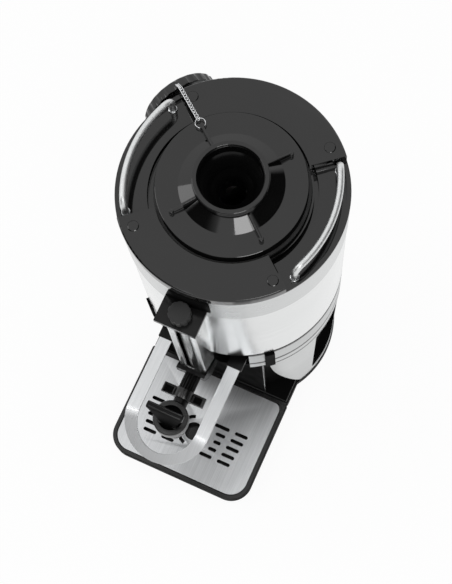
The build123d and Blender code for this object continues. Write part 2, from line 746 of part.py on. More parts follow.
# Chain: every second link stands upright, and the run over the lid bends down past the collar's edge
link = Box(LINK_LONG, LINK_WIDE, LINK_WIRE)
link -= Box(LINK_LONG - LINK_WIRE - LINK_WIRE, LINK_WIDE - LINK_WIRE - LINK_WIRE, LINK_WIRE + LINK_WIRE)
link_reach = LINK_LONG * HALF_SHARE - LINK_WIRE
half_pitch = link_reach - LINK_PLAY * HALF_SHARE
drop_degs = (CHAIN_RUN_DEG,) * CHAIN_RUN_LINKS + CHAIN_FALL_DEGS
joint_r = ring_r + RING_R - ring_half - RING_PLAY
joint_z = chain_z
links = []
for k, drop_deg in enumerate(drop_degs):
    step_out = half_pitch * cos(radians(drop_deg))
    step_down = half_pitch * sin(radians(drop_deg))
    roll = RIGHT_ANGLE if k % 2 == 0 else 0
    place = Pos(joint_r + step_out, 0, joint_z - step_down) * Rot(0, drop_deg, 0) * Rot(roll, 0, 0)
    links.append(chain_turn * place * link)
    joint_r += step_out + step_out
    joint_z -= step_down + step_down
save("cap_chain", group(links))

# Scalloped cap, hanging from the lug that the last link passes through
cap_bore_r = thread_r + CAP_GAP
cap_r = cap_bore_r + CAP_SIDE_WALL
lug_out = CAP_LUG_HOLE_R - LINK_PLAY * HALF_SHARE
lug_r = joint_r + lug_out * cos(radians(drop_degs[-1]))
lug_z = joint_z - lug_out * sin(radians(drop_degs[-1]))
cap = scalloped(cap_r, 0, CAP_T, CAP_EDGE, CAP_SCALLOPS, CAP_SCALLOP_R, CAP_SCALLOP_DEPTH)
cap -= rod(cap_bore_r, -OVERRUN, CAP_T - CAP_WALL)
cap = Rot(0, CAP_LEAN_DEG, 0) * Pos(-CAP_LUG_IN, 0, -cap_r - CAP_LUG_RISE) * Rot(0, RIGHT_ANGLE, 0) * cap
lug_half = CAP_LUG_T * HALF_SHARE
lug_low = -CAP_LUG_RISE - CAP_SIDE_WALL * CAP_LUG_SINK_SHARE
lug = rod_y(CAP_LUG_R, lug_half, -lug_half, 0) + box(-CAP_LUG_R, CAP_LUG_R, -lug_half, lug_half, lug_low, 0)
lug -= rod_y(CAP_LUG_HOLE_R, OVERRUN, -OVERRUN, 0)
neck_cap = Rot(0, 0, CAP_YAW_DEG) * cap + Rot(0, CAP_LEAN_DEG, 0) * lug
save("neck_cap", chain_turn * Pos(lug_r, 0, lug_z) * neck_cap)

# Sight gauge: top bracket, a thick plate that follows the body
gauge_y = -(upper_band_r + KNOB_R + KNOB_GAP)
plate_z = shell_z - PLATE_DROP
plate_low_z = plate_z - PLATE_T
plate_front_y = gauge_y - PLATE_FRONT
shroud_front_y = gauge_y - SHROUD_FRONT
boss_half = GLASS_R + BOSS_WALL
boss_front_y = shroud_front_y + SHROUD_WALL
boss_back_y = gauge_y + boss_half
boss_low_z = plate_low_z - BOSS_H
server_solid = rod(BODY_R, body_z, shell_z) + rod(upper_band_r, upper_band_z, shell_z)
bracket = box(-PLATE_HALF_W, PLATE_HALF_W, plate_front_y, 0, plate_low_z, plate_z)
bracket += box(-boss_half, boss_half, boss_front_y, boss_back_y, boss_low_z, plate_low_z)
bracket -= server_solid
stem_low_z = plate_low_z - KNOB_STEM_H
seal_high_z = stem_low_z - STEM_GAP
glass_z = seal_high_z - SEAL_H
bracket -= rod(GLASS_R, boss_low_z - OVERRUN, seal_high_z, 0, gauge_y)
bracket -= rod(KNOB_STEM_R + RUN_GAP, boss_low_z, plate_z + OVERRUN, 0, gauge_y)
save("gauge_top_bracket", bracket)

# Shroud: a channel round the glass with a long slot, cut off aslant at its foot
foot_roof_z = faucet_z + COUPLING_R + FOOT_ROOF
slope_z = foot_roof_z + FOOT_SLOPE_H
foot_front_y = shroud_front_y - FOOT_PROUD


def channel(inset, back_y):
    half = SHROUD_HALF_W - inset
    block = box(-half, half, shroud_front_y + inset, back_y, foot_roof_z - inset, plate_low_z)
    return fillet(block.edges().filter_by(Axis.Z).group_by(Axis.Y)[0], SHROUD_CORNER_R - inset)


shroud = channel(0, SHROUD_SINK - BODY_R) - channel(SHROUD_WALL, SHROUD_SINK - BODY_R + OVERRUN)
shroud -= prism_x([
    (-BODY_R, foot_roof_z),
    (shroud_front_y, slope_z),
    (foot_front_y - OVERRUN, slope_z),
    (foot_front_y - OVERRUN, foot_roof_z - OVERRUN),
    (-BODY_R, foot_roof_z - OVERRUN),
], SHROUD_HALF_W + OVERRUN)
slot_low_z = slope_z + SLOT_FOOT_UP
slot_high_z = plate_low_z - SLOT_HEAD_DROP
slot_cut = box(-SLOT_HALF_W, SLOT_HALF_W, shroud_front_y - OVERRUN, gauge_y, slot_low_z, slot_high_z)
for z in (slot_low_z, slot_high_z):
    slot_cut += rod_y(SLOT_HALF_W, gauge_y, shroud_front_y - OVERRUN, z)
save("gauge_shroud", shroud - slot_cut - server_solid)

# Gauge glass between its seals, in the sockets of the bracket and the foot
foot_boss_z = foot_roof_z + FOOT_BOSS_H
glass_low_z = foot_boss_z - GLASS_SOCKET
seal_low_z = glass_low_z - SEAL_H
save("gauge_glass", Pos(0, gauge_y, 0) * tube(GLASS_R, GLASS_R - GLASS_WALL, glass_low_z, glass_z))
seals = [Pos(0, gauge_y, 0) * tube(GLASS_R, SEAL_HOLE_R, z, z + SEAL_H) for z in (seal_low_z, glass_z)]
save("gauge_seals", group(seals))

# Gauge foot: a bevelled block round the coupling, with the lower socket inside the shroud
foot = prism_x([
    (housing_front_y, faucet_z - COUPLING_R - FOOT_WALL),
    (foot_front_y + FOOT_BEVEL, faucet_z - COUPLING_R - FOOT_WALL),
    (foot_front_y, faucet_z + FOOT_LIP_UP),
    (foot_front_y, slope_z),
    (shroud_front_y, slope_z),
    (-BODY_R, foot_roof_z),
    (housing_front_y, foot_roof_z),
], SHROUD_HALF_W + FOOT_SIDE)
foot += box(-boss_half, boss_half, boss_front_y, boss_back_y, foot_roof_z, foot_boss_z)
foot -= rod_y(COUPLING_R, housing_front_y + OVERRUN, foot_front_y - OVERRUN, faucet_z)
foot -= rod(GLASS_R, seal_low_z, foot_boss_z + OVERRUN, 0, gauge_y)
foot -= rod(SEAL_HOLE_R, faucet_z, foot_boss_z, 0, gauge_y)
save("gauge_bottom_bracket", foot)

# Knob: a scalloped plug with a plain stem in the bracket
knob_z = plate_z + REST_GAP
knob = scalloped(KNOB_R, knob_z, knob_z + KNOB_H, KNOB_EDGE,
                 KNOB_SCALLOPS, KNOB_SCALLOP_R, KNOB_SCALLOP_DEPTH)
save("gauge_knob", Pos(0, gauge_y, 0) * (knob + rod(KNOB_STEM_R, stem_low_z, knob_z)))

# Faucet: ribbed coupling, wing nut, body
coupling_end_y = housing_front_y - COUPLING_LEN
join_y = coupling_end_y - SPIGOT_LEN
rib_points = []
for k in range(COUPLING_RIBS + COUPLING_RIBS):
    turn = radians(k * HALF_TURN / COUPLING_RIBS)
    reach = COUPLING_R if k % 2 == 0 else COUPLING_R - RIB_DEPTH
    rib_points.append((reach * cos(turn), faucet_z + reach * sin(turn)))
coupling = prism_y(rib_points, housing_front_y, coupling_end_y)
coupling += rod_y(SPIGOT_R, coupling_end_y, join_y, faucet_z)
coupling -= rod_y(FAUCET_BORE_R, housing_front_y + OVERRUN, join_y - OVERRUN, faucet_z)
coupling -= rod(SEAL_HOLE_R, faucet_z, foot_boss_z, 0, gauge_y)
save("faucet_coupling", coupling)

nut_back_y = coupling_end_y - REST_GAP
nut_front_y = nut_back_y - NUT_T
wing_half_t = NUT_WING_T * HALF_SHARE
nut = rod_y(NUT_HUB_R, nut_back_y, nut_front_y, faucet_z)
for side in (-1, 1):
    x0, x1 = sorted((side * (NUT_HUB_R - NUT_WING_SINK), side * NUT_HALF_W))
    wing = box(x0, x1, nut_front_y, nut_back_y, faucet_z - wing_half_t, faucet_z + wing_half_t)
    tip = wing.edges().filter_by(Axis.Y).group_by(Axis.X)[-1 if side > 0 else 0]
    nut += fillet(tip, NUT_WING_EDGE)
nut -= rod_y(SPIGOT_R + RUN_GAP, nut_back_y + OVERRUN, nut_front_y - OVERRUN, faucet_z)
save("wing_nut", nut)

faucet_y = nut_front_y - NECK_LEN
barrel_z = faucet_z + BARREL_UP
barrel_low_z = faucet_z - BARREL_DOWN
valve_seat_z = barrel_low_z + SEAT_UP
bore_r = BARREL_R - BARREL_WALL
spout_low_z = barrel_low_z - SPOUT_LEN
barrel = rod(BARREL_R, barrel_low_z, barrel_z, 0, faucet_y)
barrel = chamfer(barrel.edges().group_by(Axis.Z)[0], BARREL_EDGE)
barrel += rod(SPOUT_R, spout_low_z, barrel_low_z + BARREL_EDGE, 0, faucet_y)
neck_back_y = nut_front_y - REST_GAP
body = barrel + rod_y(BARREL_UP - NECK_DROP, neck_back_y, faucet_y, faucet_z)
body += rod_y(SPIGOT_R, join_y, neck_back_y, faucet_z)
body -= rod(bore_r, valve_seat_z, barrel_z + OVERRUN, 0, faucet_y)
body -= rod(SPOUT_R - SPOUT_WALL, spout_low_z - OVERRUN, valve_seat_z + OVERRUN, 0, faucet_y)
body -= rod_y(FAUCET_BORE_R, join_y + OVERRUN, faucet_y, faucet_z)
bonnet_r = BARREL_R + BONNET_WALL
bonnet_low_z = barrel_z - BONNET_SKIRT
body -= Pos(0, faucet_y, 0) * tube(bonnet_r, BARREL_R, bonnet_low_z, barrel_z + OVERRUN)
save("faucet_body", body)

# Bonnet: a cap over the barrel, cupped on top, with two lugs for the pin
floor_z = barrel_z + BONNET_FLOOR
bonnet_z = floor_z + BONNET_CUP
pin_y = faucet_y - PIN_AHEAD
pin_z = floor_z + PIN_UP
lug_in_x = HUB_HALF_W + HUB_SIDE_GAP
lug_out_x = lug_in_x + LUG_T
bonnet = rod(bonnet_r, bonnet_low_z, bonnet_z, 0, faucet_y)
bonnet = chamfer(bonnet.edges().group_by(Axis.Z)[-1], BONNET_EDGE)
bonnet -= rod(BARREL_R, bonnet_low_z - OVERRUN, barrel_z, 0, faucet_y)
bonnet -= rod(bonnet_r - BONNET_CUP_WALL, floor_z, bonnet_z + OVERRUN, 0, faucet_y)
for side in (-1, 1):
    x0, x1 = sorted((side * lug_in_x, side * lug_out_x))
    bonnet += box(x0, x1, pin_y - LUG_HALF_Y, pin_y + LUG_HALF_Y, floor_z, pin_z + LUG_UP)
bonnet -= rod_x(PIN_R, lug_out_x, pin_y, pin_z)
bonnet -= rod(STEM_R + RUN_GAP, barrel_z - OVERRUN, bonnet_z, 0, faucet_y)
save("faucet_bonnet", bonnet)
save("lever_pin", rod_x(PIN_R, lug_out_x, pin_y, pin_z))

# Lever: hub, tapered paddle with a top bar, and the fork that lifts the stem
lever_top_z = pin_z + LEVER_LEN
bar_half_t = LEVER_BAR_T * HALF_SHARE
paddle = [
    (LEVER_NECK_HALF, pin_z),
    (LEVER_NECK_HALF, pin_z + LEVER_NECK_UP),
    (LEVER_WIDE_HALF, pin_z + LEVER_WIDE_UP),
    (LEVER_WIDE_HALF, lever_top_z - bar_half_t),
]
paddle += [(-x, z) for x, z in reversed(paddle)]
lever = prism_y(paddle, pin_y + LEVER_T * HALF_SHARE, pin_y - LEVER_T * HALF_SHARE)
bar = box(-LEVER_BAR_HALF, LEVER_BAR_HALF, pin_y - bar_half_t, pin_y + bar_half_t,
          lever_top_z - LEVER_BAR_T, lever_top_z)
lever += fillet(bar.edges().filter_by(Axis.X), LEVER_BAR_EDGE)
lever = Pos(0, pin_y, pin_z) * Rot(-LEVER_LEAN_DEG, 0, 0) * Pos(0, -pin_y, -pin_z) * lever
lever += rod_x(PIN_UP - HUB_GAP, HUB_HALF_W, pin_y, pin_z)
cross_z = floor_z + CROSS_UP
fork_z = cross_z - CROSS_R - FORK_GAP
fork_in_x = STEM_R + FORK_SIDE_GAP
for side in (-1, 1):
    x0, x1 = sorted((side * fork_in_x, side * (fork_in_x + FORK_W)))
    lever += box(x0, x1, pin_y, faucet_y + FORK_PAST, fork_z - FORK_T, fork_z)
lever -= rod_x(PIN_R + RUN_GAP, LEVER_BAR_HALF, pin_y, pin_z)
save("faucet_lever", lever)

# Valve: stem with crosshead, seat cup, return spring of square wire
cup_z = valve_seat_z + REST_GAP + CUP_H
stem_foot_z = cup_z - STEM_SINK
stem = rod(STEM_R, stem_foot_z, cross_z + STEM_PAST, 0, faucet_y)
save("valve_stem", stem + rod_x(CROSS_R, CROSS_HALF, faucet_y, cross_z))
seat = rod(bore_r - CUP_GAP, valve_seat_z + REST_GAP, cup_z, 0, faucet_y)
save("seat_cup", seat - rod(STEM_R, stem_foot_z, cup_z + OVERRUN, 0, faucet_y))
spring_low_z = cup_z + REST_GAP + SPRING_WIRE * HALF_SHARE
spring_h = barrel_z - SPRING_END_GAP - SPRING_WIRE * HALF_SHARE - spring_low_z
coil = Pos(0, faucet_y, spring_low_z) * Helix(spring_h / SPRING_TURNS, spring_h, SPRING_R)
wire = Plane(coil @ 0, x_dir=(1, 0, 0), z_dir=coil % 0) * Rectangle(SPRING_WIRE, SPRING_WIRE)
save("faucet_spring", sweep(wire, path=coil, is_frenet=True))

# Guard: a flat loop, its front dipping from a bend across both arms, a tab at the end of each arm
guard_half_t = GUARD_T * HALF_SHARE
bend_y = faucet_y - GUARD_BEND_AHEAD


def loop(inset, front_inset):
    half = GUARD_OUT_HALF - inset
    front = housing_front_y - GUARD_LEN + front_inset
    plate = box(-half, half, front, housing_front_y, guard_z - guard_half_t, guard_z + guard_half_t)
    return fillet(plate.edges().filter_by(Axis.Z).group_by(Axis.Y)[0], GUARD_TURN_R - inset)


strip = loop(0, 0) - loop(GUARD_STRIP, GUARD_FRONT_STRIP)
arm_zone = box(-BODY_R, BODY_R, bend_y, 0, 0, body_z)
dip = Pos(0, bend_y, guard_z) * Rot(GUARD_DIP_DEG, 0, 0) * Pos(0, -bend_y, -guard_z)
guard = (strip & arm_zone) + dip * (strip - arm_zone)
for side in (-1, 1):
    x0, x1 = sorted((side * (GUARD_OUT_HALF - GUARD_STRIP), side * GUARD_OUT_HALF))
    knuckle = Pos(side * guard_mid, bend_y, guard_z) * Rot(0, RIGHT_ANGLE, 0)
    guard += knuckle * Cylinder(guard_half_t, GUARD_STRIP)
    guard += box(x0, x1, housing_front_y - GUARD_T, housing_front_y, guard_z - GUARD_TAB_H, guard_z)
    guard -= rod_y(GUARD_SCREW_R, screw_tip_y, housing_front_y - OVERRUN, screw_z, side * guard_mid)
save("faucet_guard", guard)
head_back_y = housing_front_y - GUARD_T
guard_screws = []
for side in (-1, 1):
    shank = rod_y(GUARD_SCREW_R, screw_tip_y, head_back_y, screw_z, side * guard_mid)
    head = rod_y(GUARD_HEAD_R, head_back_y, head_back_y - GUARD_HEAD_H, screw_z, side * guard_mid)
    guard_screws.append(shank + head)
save("guard_screws", group(guard_screws))
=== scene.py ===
import json
from math import cos, pi, radians, sin

import bmesh
import bpy
from mathutils import Matrix, Vector

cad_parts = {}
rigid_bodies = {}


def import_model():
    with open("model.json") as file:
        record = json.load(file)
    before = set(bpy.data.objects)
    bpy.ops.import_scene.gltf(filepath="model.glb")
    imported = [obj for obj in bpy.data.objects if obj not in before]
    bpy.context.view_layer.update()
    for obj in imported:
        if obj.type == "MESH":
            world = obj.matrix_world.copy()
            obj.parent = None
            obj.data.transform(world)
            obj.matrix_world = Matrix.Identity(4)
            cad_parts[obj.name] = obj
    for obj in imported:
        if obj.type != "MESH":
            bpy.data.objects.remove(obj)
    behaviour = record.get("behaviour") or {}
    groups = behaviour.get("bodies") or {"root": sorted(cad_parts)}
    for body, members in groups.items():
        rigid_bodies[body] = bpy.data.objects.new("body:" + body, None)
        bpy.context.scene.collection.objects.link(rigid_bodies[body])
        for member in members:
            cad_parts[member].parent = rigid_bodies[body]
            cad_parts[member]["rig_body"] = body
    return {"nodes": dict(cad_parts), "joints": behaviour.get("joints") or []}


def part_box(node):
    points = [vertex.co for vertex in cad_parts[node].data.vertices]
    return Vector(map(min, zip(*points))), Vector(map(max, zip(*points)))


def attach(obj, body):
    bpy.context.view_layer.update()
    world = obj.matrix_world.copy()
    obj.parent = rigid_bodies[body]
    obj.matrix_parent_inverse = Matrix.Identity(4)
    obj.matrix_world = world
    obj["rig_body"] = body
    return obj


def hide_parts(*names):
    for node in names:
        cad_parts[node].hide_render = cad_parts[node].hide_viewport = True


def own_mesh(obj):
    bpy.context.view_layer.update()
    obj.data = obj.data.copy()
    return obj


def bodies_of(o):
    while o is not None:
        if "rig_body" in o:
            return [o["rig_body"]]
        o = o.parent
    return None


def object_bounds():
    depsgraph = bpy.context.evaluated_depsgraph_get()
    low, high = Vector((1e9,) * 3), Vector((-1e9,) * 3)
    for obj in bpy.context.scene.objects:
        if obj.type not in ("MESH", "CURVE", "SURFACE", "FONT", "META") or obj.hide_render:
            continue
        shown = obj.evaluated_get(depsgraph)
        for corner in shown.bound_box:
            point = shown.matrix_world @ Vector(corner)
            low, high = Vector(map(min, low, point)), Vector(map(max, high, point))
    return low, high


for spare in list(bpy.data.objects):
    bpy.data.objects.remove(spare)
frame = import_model()
cad_low, cad_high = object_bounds()

MM = 0.001
WHOLE_TURN = 2 * pi

# The photograph's eye: place in metres, turn in degrees, lens on a 36 mm film
EYE = (0.240994, -0.392275, 1.740648)
EYE_TURN = (15.735762, 2.900242, 24.485999)
FILM = 36.0
LENS = 82.16
NEAREST = 0.05
FARTHEST = 50.0

# Light levels, as radiance of a white card
WHITE = (1, 1, 1, 1)
ROOM_GLOW = 0.55
CARD_WHITE = 1.0

# Floor: its paint, its glow, the share that keeps the shadow, and its half side and drop in metres
FLOOR_PAINT = (0.92, 0.92, 0.92, 1)
FLOOR_WHITE = 1.04
FLOOR_SHADOW_SHARE = 0.12
FLOOR_HALF = 4.0
FLOOR_DROP = 0.0003

# Three softboxes: bearing, height angle, distance, width, height, radiance
LEFT_BOX = (191, 40, 1.6, 0.56, 0.46, 2.1)
FRONT_BOX = (-44, 61, 1.7, 0.50, 0.40, 7.0)
TOP_BOX = (231, 74, 1.74, 0.18, 0.18, 6.0)

# Dark screens of the studio that gloss shows: bearing from and to, height angle from and to, in degrees
SCREENS = ((-20, 64, 8, 66), (-152, -98, 8, 59))
SCREEN_BLUR = 4.0

# Noises of the finishes: the levels taken as low and high, the detail, and patches to the metre
NOISE_LOW = 0.3
NOISE_HIGH = 0.7
NOISE_DETAIL = 3.0
BRUSH_DETAIL = 2.0
STREAK_DETAIL = 4.0
PLASTIC_CLOUDS = 18
PLASTIC_GLOSS_PATCHES = 45
PLASTIC_TEXTURE = 1400
GLOSS_TEXTURE = 900
STEEL_SMEARS = 9
GLASS_PAINTED_STREAKS = (260, 260, 34)
GLASS_GLOSS_PATCHES = 60
RUBBER_CLOUDS = 90
RUBBER_GLOSS_PATCHES = 70
RUBBER_TEXTURE = 1500
RUBBER_DEPTH = 0.04

# Glass of the gauge
GLASS_CLEARNESS = 0.4
GLASS_INDEX = 1.47

# Dark seam gaps with painted shade, mm: over the shell's foot, and from and to between the stand's rings
BODY_LOW = 267.0
SHELL_SEAM_SHADE = 4.0
STAND_SEAM_SHADES = ((261.0, 268.0), (221.6, 228.2), (203.0, 207.6))
SEAM_SHADE_BLACK = (0.012, 0.012, 0.012, 1)

# Shared by the pieces: corners and creases in degrees, slivers in mm, steps of a rounded edge
CORNER = 28.0
CRISP = 20.0
RIB_CREASE = 35.0
TURNED_CREASE = 40.0
WIRE_CREASE = 60.0
FLAT_TURN = 0.4
SLIVER = 0.002
EDGE_STEPS = 2
ROUND_STEPS = 3

# How far a face leans, as a share of its normal, to count as a wall, a top, a side or an edge
WALL_LEAN = 0.3
WING_TOP_LEAN = 0.99
PADDLE_LEAN = 0.9
TRAY_SIDE_LEAN = 0.5
BASE_EDGE_LEAN = (0.2, 0.97)
PANEL_EDGE_LEAN = 0.2

# Edges of the plain pieces, mm
EASED_MM = {
    "screw_covers": 0.9,
    "neck_cap": 0.5,
    "gauge_knob": 0.5,
    "gauge_top_bracket": 0.8,
    "gauge_bottom_bracket": 0.8,
    "gauge_shroud": 0.3,
    "faucet_body": 0.6,
    "drip_tray_cover": 0.3,
    "stand_clips": 0.4,
    "bottom_housing": 0.8,
    "stand_skirt": 0.3,
    "stand_band": 0.2,
    "stand_rim": 0.2,
    "handle_ferrules": 0.5,
}

# Collar, tray, base and front panel, mm
COLLAR_EDGE = 0.8
COLLAR_SHADED_WALL_R = 84.0
TRAY_EDGE = 0.6
BASE_EDGE = 1.6
PANEL_EDGE = 2.4

# Wing nut, coupling and bonnet, mm; corners and creases in degrees
WING_IN = 13.0
WING_RIM = 2.1
WING_HOLLOW = 1.6
WING_EDGE = 0.3
WING_CORNER = 40.0
NUT_CREASE = 31.0
CREST_CORNER = 15.0
CREST_EDGE = 0.35
CREST_STEPS = 1
CREST_R = 9.45
BONNET_EDGE = 0.5
BONNET_CUP_R = 15.2
BONNET_RIM_Z = 240.4

# Lever and its grip ridges, mm; lean and corner in degrees
LEVER_EDGE = 0.9
LEVER_END = 2.4
LEVER_END_STEPS = 4
LEVER_END_SLACK = 0.05
LEVER_LEAN = 4.5
RIDGE_R = 0.9
RIDGE_LEN = 40.0
RIDGE_OUT = 2.1
RIDGE_UP = 57.5
RIDGE_SIDES = 16
RIDGE_CORNER = 60.0

# Faucet guard and its sockets, mm; dip and corner in degrees
GUARD_T = 2.0
GUARD_HALF = 50.8
GUARD_STRIP = 15.3
GUARD_FRONT_STRIP = 11.5
GUARD_LEN = 155.8
GUARD_TAB = 14.0
GUARD_BEND_Y = -210.0
GUARD_DIP = 18.0
GUARD_FOLDS = 5
GUARD_FOLD_STEP = 2.2
GUARD_ARM_STEPS = 8
GUARD_STEPS = 60
GUARD_EDGE = 0.3
GUARD_CORNER = 50.0
SOCKET_SIZE = (19.0, 20.0, 6.0)
SOCKET_UP = 1.4
SOCKET_EDGE = 0.9

# Back flange of the gauge bracket, mm
FLANGE_R = 118.15
FLANGE_LEFT = 23.6
FLANGE_RIGHT = 26.5
FLANGE_LEAN = 5.8
FLANGE_LEAN_DROP = 8.0
FLANGE_H = 35.0
FLANGE_SINK = 2.0
FLANGE_CORNER = 4.0
FLANGE_CORNER_STEPS = 4
FLANGE_STEPS = 6
FLANGE_T = 0.4

# Split ring and chain, mm; the links' twist and drops in degrees
WIRE_SIDES = 8
CHAIN_DEG = 140.5
CHAIN_TURN = Matrix.Rotation(radians(CHAIN_DEG), 4, "Z")
CHAIN_Z = 516.2
RING_AT = 70.1
RING_R = 5.2
RING_WIRE = 0.45
RING_TURNS = 1.94
RING_RISE = 0.9
RING_STEPS = 56
RING_START_DEG = 62.0
JOINT_AT = 74.2
LINK_LONG = 5.6
LINK_WIDE = 4.2
LINK_WIRE = 0.9
LINK_PITCH = 3.5
LINK_TWIST = 24.0
LINK_STEPS = 14
CHAIN_DROPS = (11.7,) * 12 + (27.0, 42.0, 52.0, 52.0, 52.0, 52.0)

# Funnel's wall, from its lip down the inside and back up the outside, mm
FUNNEL_STEPS = 96
FUNNEL_PROFILE = (
    (33.4, 529.0),
    (32.7, 528.6),
    (32.4, 524.0),
    (31.6, 518.0),
    (29.8, 512.0),
    (26.6, 505.6),
    (22.0, 499.4),
    (17.4, 494.2),
    (14.8, 490.6),
    (13.8, 487.0),
    (13.8, 468.0),
    (16.0, 468.0),
    (16.0, 487.3),
    (29.5, 516.5),
    (33.4, 519.0),
)

# Lid's section, ribs and thread, mm; corner in degrees
LID_STEPS = 144
LID_SHADED_WALL_R = 75.5
LID_PROFILE = (
    (76.0, 490.0),
    (76.0, 511.0),
    (76.0, 511.5),
    (75.85, 511.85),
    (75.5, 512.0),
    (74.8, 512.0),
    (53.5, 512.0),
    (53.0, 512.0),
    (38.0, 518.5),
    (38.0, 530.6),
    (38.0, 531.1),
    (37.87, 531.37),
    (37.6, 531.5),
    (37.2, 531.5),
    (34.2, 531.5),
    (33.8, 531.5),
    (33.6, 531.4),
    (33.5, 531.2),
    (33.5, 530.6),
    (33.5, 512.0),
    (49.5, 508.5),
    (72.5, 508.5),
    (72.5, 490.0),
)
RIB_COUNT = 4
RIB_DEG = 50.5
RIB_T = 2.6
RIB_OUTLINE = ((36.5, 510.0), (65.5, 510.0), (65.5, 518.5), (36.5, 523.0))
RIB_EDGE = 0.5
RIB_CORNER = 40.0
KNOB_AT = 65.5
KNOB_R = 2.6
KNOB_H = 8.5
KNOB_TOP = 518.5
KNOB_SIDES = 24
THREAD_Z = 521.0
THREAD_RIDGE = ((37.9, 0.0), (38.7, 0.7), (38.7, 1.1), (37.9, 1.8))
THREAD_TURNS = 2.0
THREAD_PITCH = 4.0
THREAD_STEPS = 120


# Finishes


def finish_of(name):
    """A new material with its node tree and its shader."""
    made = bpy.data.materials.new(name)
    made.use_nodes = True
    return made, made.node_tree, made.node_tree.nodes["Principled BSDF"]


def maths(tree, operation, first, second=None):
    """A sum on numbers or on the outputs of other nodes."""
    node = tree.nodes.new("ShaderNodeMath")
    node.operation = operation
    for socket, value in zip(node.inputs, (first, second)):
        if isinstance(value, (int, float)):
            socket.default_value = value
        elif value is not None:
            tree.links.new(value, socket)
    return node.outputs["Value"]


def grain(tree, scale, stretch=(1, 1, 1), detail=NOISE_DETAIL):
    """A noise in the object's own metres, drawn out along one way where stretch says so."""
    place = tree.nodes.new("ShaderNodeTexCoord")
    drawn = tree.nodes.new("ShaderNodeMapping")
    drawn.inputs["Scale"].default_value = stretch
    noise = tree.nodes.new("ShaderNodeTexNoise")
    noise.inputs["Scale"].default_value = scale
    noise.inputs["Detail"].default_value = detail
    tree.links.new(place.outputs["Object"], drawn.inputs["Vector"])
    tree.links.new(drawn.outputs["Vector"], noise.inputs["Vector"])
    return noise.outputs["Fac"]


def between(tree, fac, low, high):
    """A value that follows a noise from low to high."""
    span = tree.nodes.new("ShaderNodeMapRange")
    span.inputs["From Min"].default_value = NOISE_LOW
    span.inputs["From Max"].default_value = NOISE_HIGH
    span.inputs["To Min"].default_value = low
    span.inputs["To Max"].default_value = high
    tree.links.new(fac, span.inputs["Value"])
    return span.outputs["Result"]


def tint(tree, fac, dark, light):
    """A colour that follows a noise from dark to light."""
    ramp = tree.nodes.new("ShaderNodeValToRGB")
    ramp.color_ramp.elements[0].position = NOISE_LOW
    ramp.color_ramp.elements[1].position = NOISE_HIGH
    ramp.color_ramp.elements[0].color = (*dark, 1)
    ramp.color_ramp.elements[1].color = (*light, 1)
    tree.links.new(fac, ramp.inputs["Fac"])
    return ramp.outputs["Color"]


def relief(tree, shader, fac, depth):
    """Fine surface texture under the light, its depth in mm."""
    bump = tree.nodes.new("ShaderNodeBump")
    bump.inputs["Distance"].default_value = depth * MM
    bump.inputs["Strength"].default_value = 1
    tree.links.new(fac, bump.inputs["Height"])
    tree.links.new(bump.outputs["Normal"], shader.inputs["Normal"])


def moulded_black(name, gloss, shade, depth, texture=PLASTIC_TEXTURE, mirror=0.5, index=1.5):
    """Injection-moulded black plastic with a fine mould texture."""
    made, tree, shader = finish_of(name)
    dark, light = [(grey,) * 3 for grey in shade]
    patches = grain(tree, PLASTIC_GLOSS_PATCHES)
    tree.links.new(tint(tree, grain(tree, PLASTIC_CLOUDS), dark, light), shader.inputs["Base Color"])
    tree.links.new(between(tree, patches, *gloss), shader.inputs["Roughness"])
    shader.inputs["IOR"].default_value = index
    shader.inputs["Specular IOR Level"].default_value = mirror
    relief(tree, shader, grain(tree, texture), depth)
    return made


def along_the_lathe(tree, shader, pull):
    """Polishing lines that run round the upright axis and draw reflections out along it."""
    place = tree.nodes.new("ShaderNodeTexCoord")
    cross = tree.nodes.new("ShaderNodeVectorMath")
    cross.operation = "CROSS_PRODUCT"
    cross.inputs[0].default_value = (0, 0, 1)
    tree.links.new(place.outputs["Object"], cross.inputs[1])
    tree.links.new(cross.outputs["Vector"], shader.inputs["Tangent"])
    shader.inputs["Anisotropic"].default_value = pull


def painted_seam_shade(tree, colour, heights):
    """Painted shade: dark lines in the open gaps between two rings of sheet."""
    place = tree.nodes.new("ShaderNodeTexCoord")
    parts = tree.nodes.new("ShaderNodeSeparateXYZ")
    tree.links.new(place.outputs["Object"], parts.inputs["Vector"])
    for low, high in heights:
        above = maths(tree, "GREATER_THAN", parts.outputs["Z"], low * MM)
        below = maths(tree, "LESS_THAN", parts.outputs["Z"], high * MM)
        mix = tree.nodes.new("ShaderNodeMix")
        mix.data_type = "RGBA"
        tree.links.new(maths(tree, "MULTIPLY", above, below), mix.inputs["Factor"])
        tree.links.new(colour, mix.inputs["A"])
        mix.inputs["B"].default_value = SEAM_SHADE_BLACK
        colour = mix.outputs["Result"]
    return colour


def steel(name, dark, light, gloss, stretch, depth, pull=0.0, shaded_seams=()):
    """Stainless steel: stretch draws the noise out into brushing lines."""
    made, tree, shader = finish_of(name)
    lines = grain(tree, 1, stretch, BRUSH_DETAIL)
    shader.inputs["Metallic"].default_value = 1
    # Painted shade darkens the seam heights.
    colour = painted_seam_shade(tree, tint(tree, lines, dark, light), shaded_seams)
    tree.links.new(colour, shader.inputs["Base Color"])
    tree.links.new(between(tree, grain(tree, STEEL_SMEARS), *gloss), shader.inputs["Roughness"])
    relief(tree, shader, lines, depth)
    if pull:
        along_the_lathe(tree, shader, pull)
    return made


def glass_with_painted_streaks(dark, light, gloss):
    """Glass tube whose colour carries upright streaks of painted reflection, as a bent wall shows them."""
    made, tree, shader = finish_of("gauge_tube_glass")
    shader.inputs["Transmission Weight"].default_value = GLASS_CLEARNESS
    shader.inputs["IOR"].default_value = GLASS_INDEX
    streaks = grain(tree, 1, GLASS_PAINTED_STREAKS, STREAK_DETAIL)
    tree.links.new(tint(tree, streaks, dark, light), shader.inputs["Base Color"])
    tree.links.new(between(tree, grain(tree, GLASS_GLOSS_PATCHES), *gloss), shader.inputs["Roughness"])
    return made


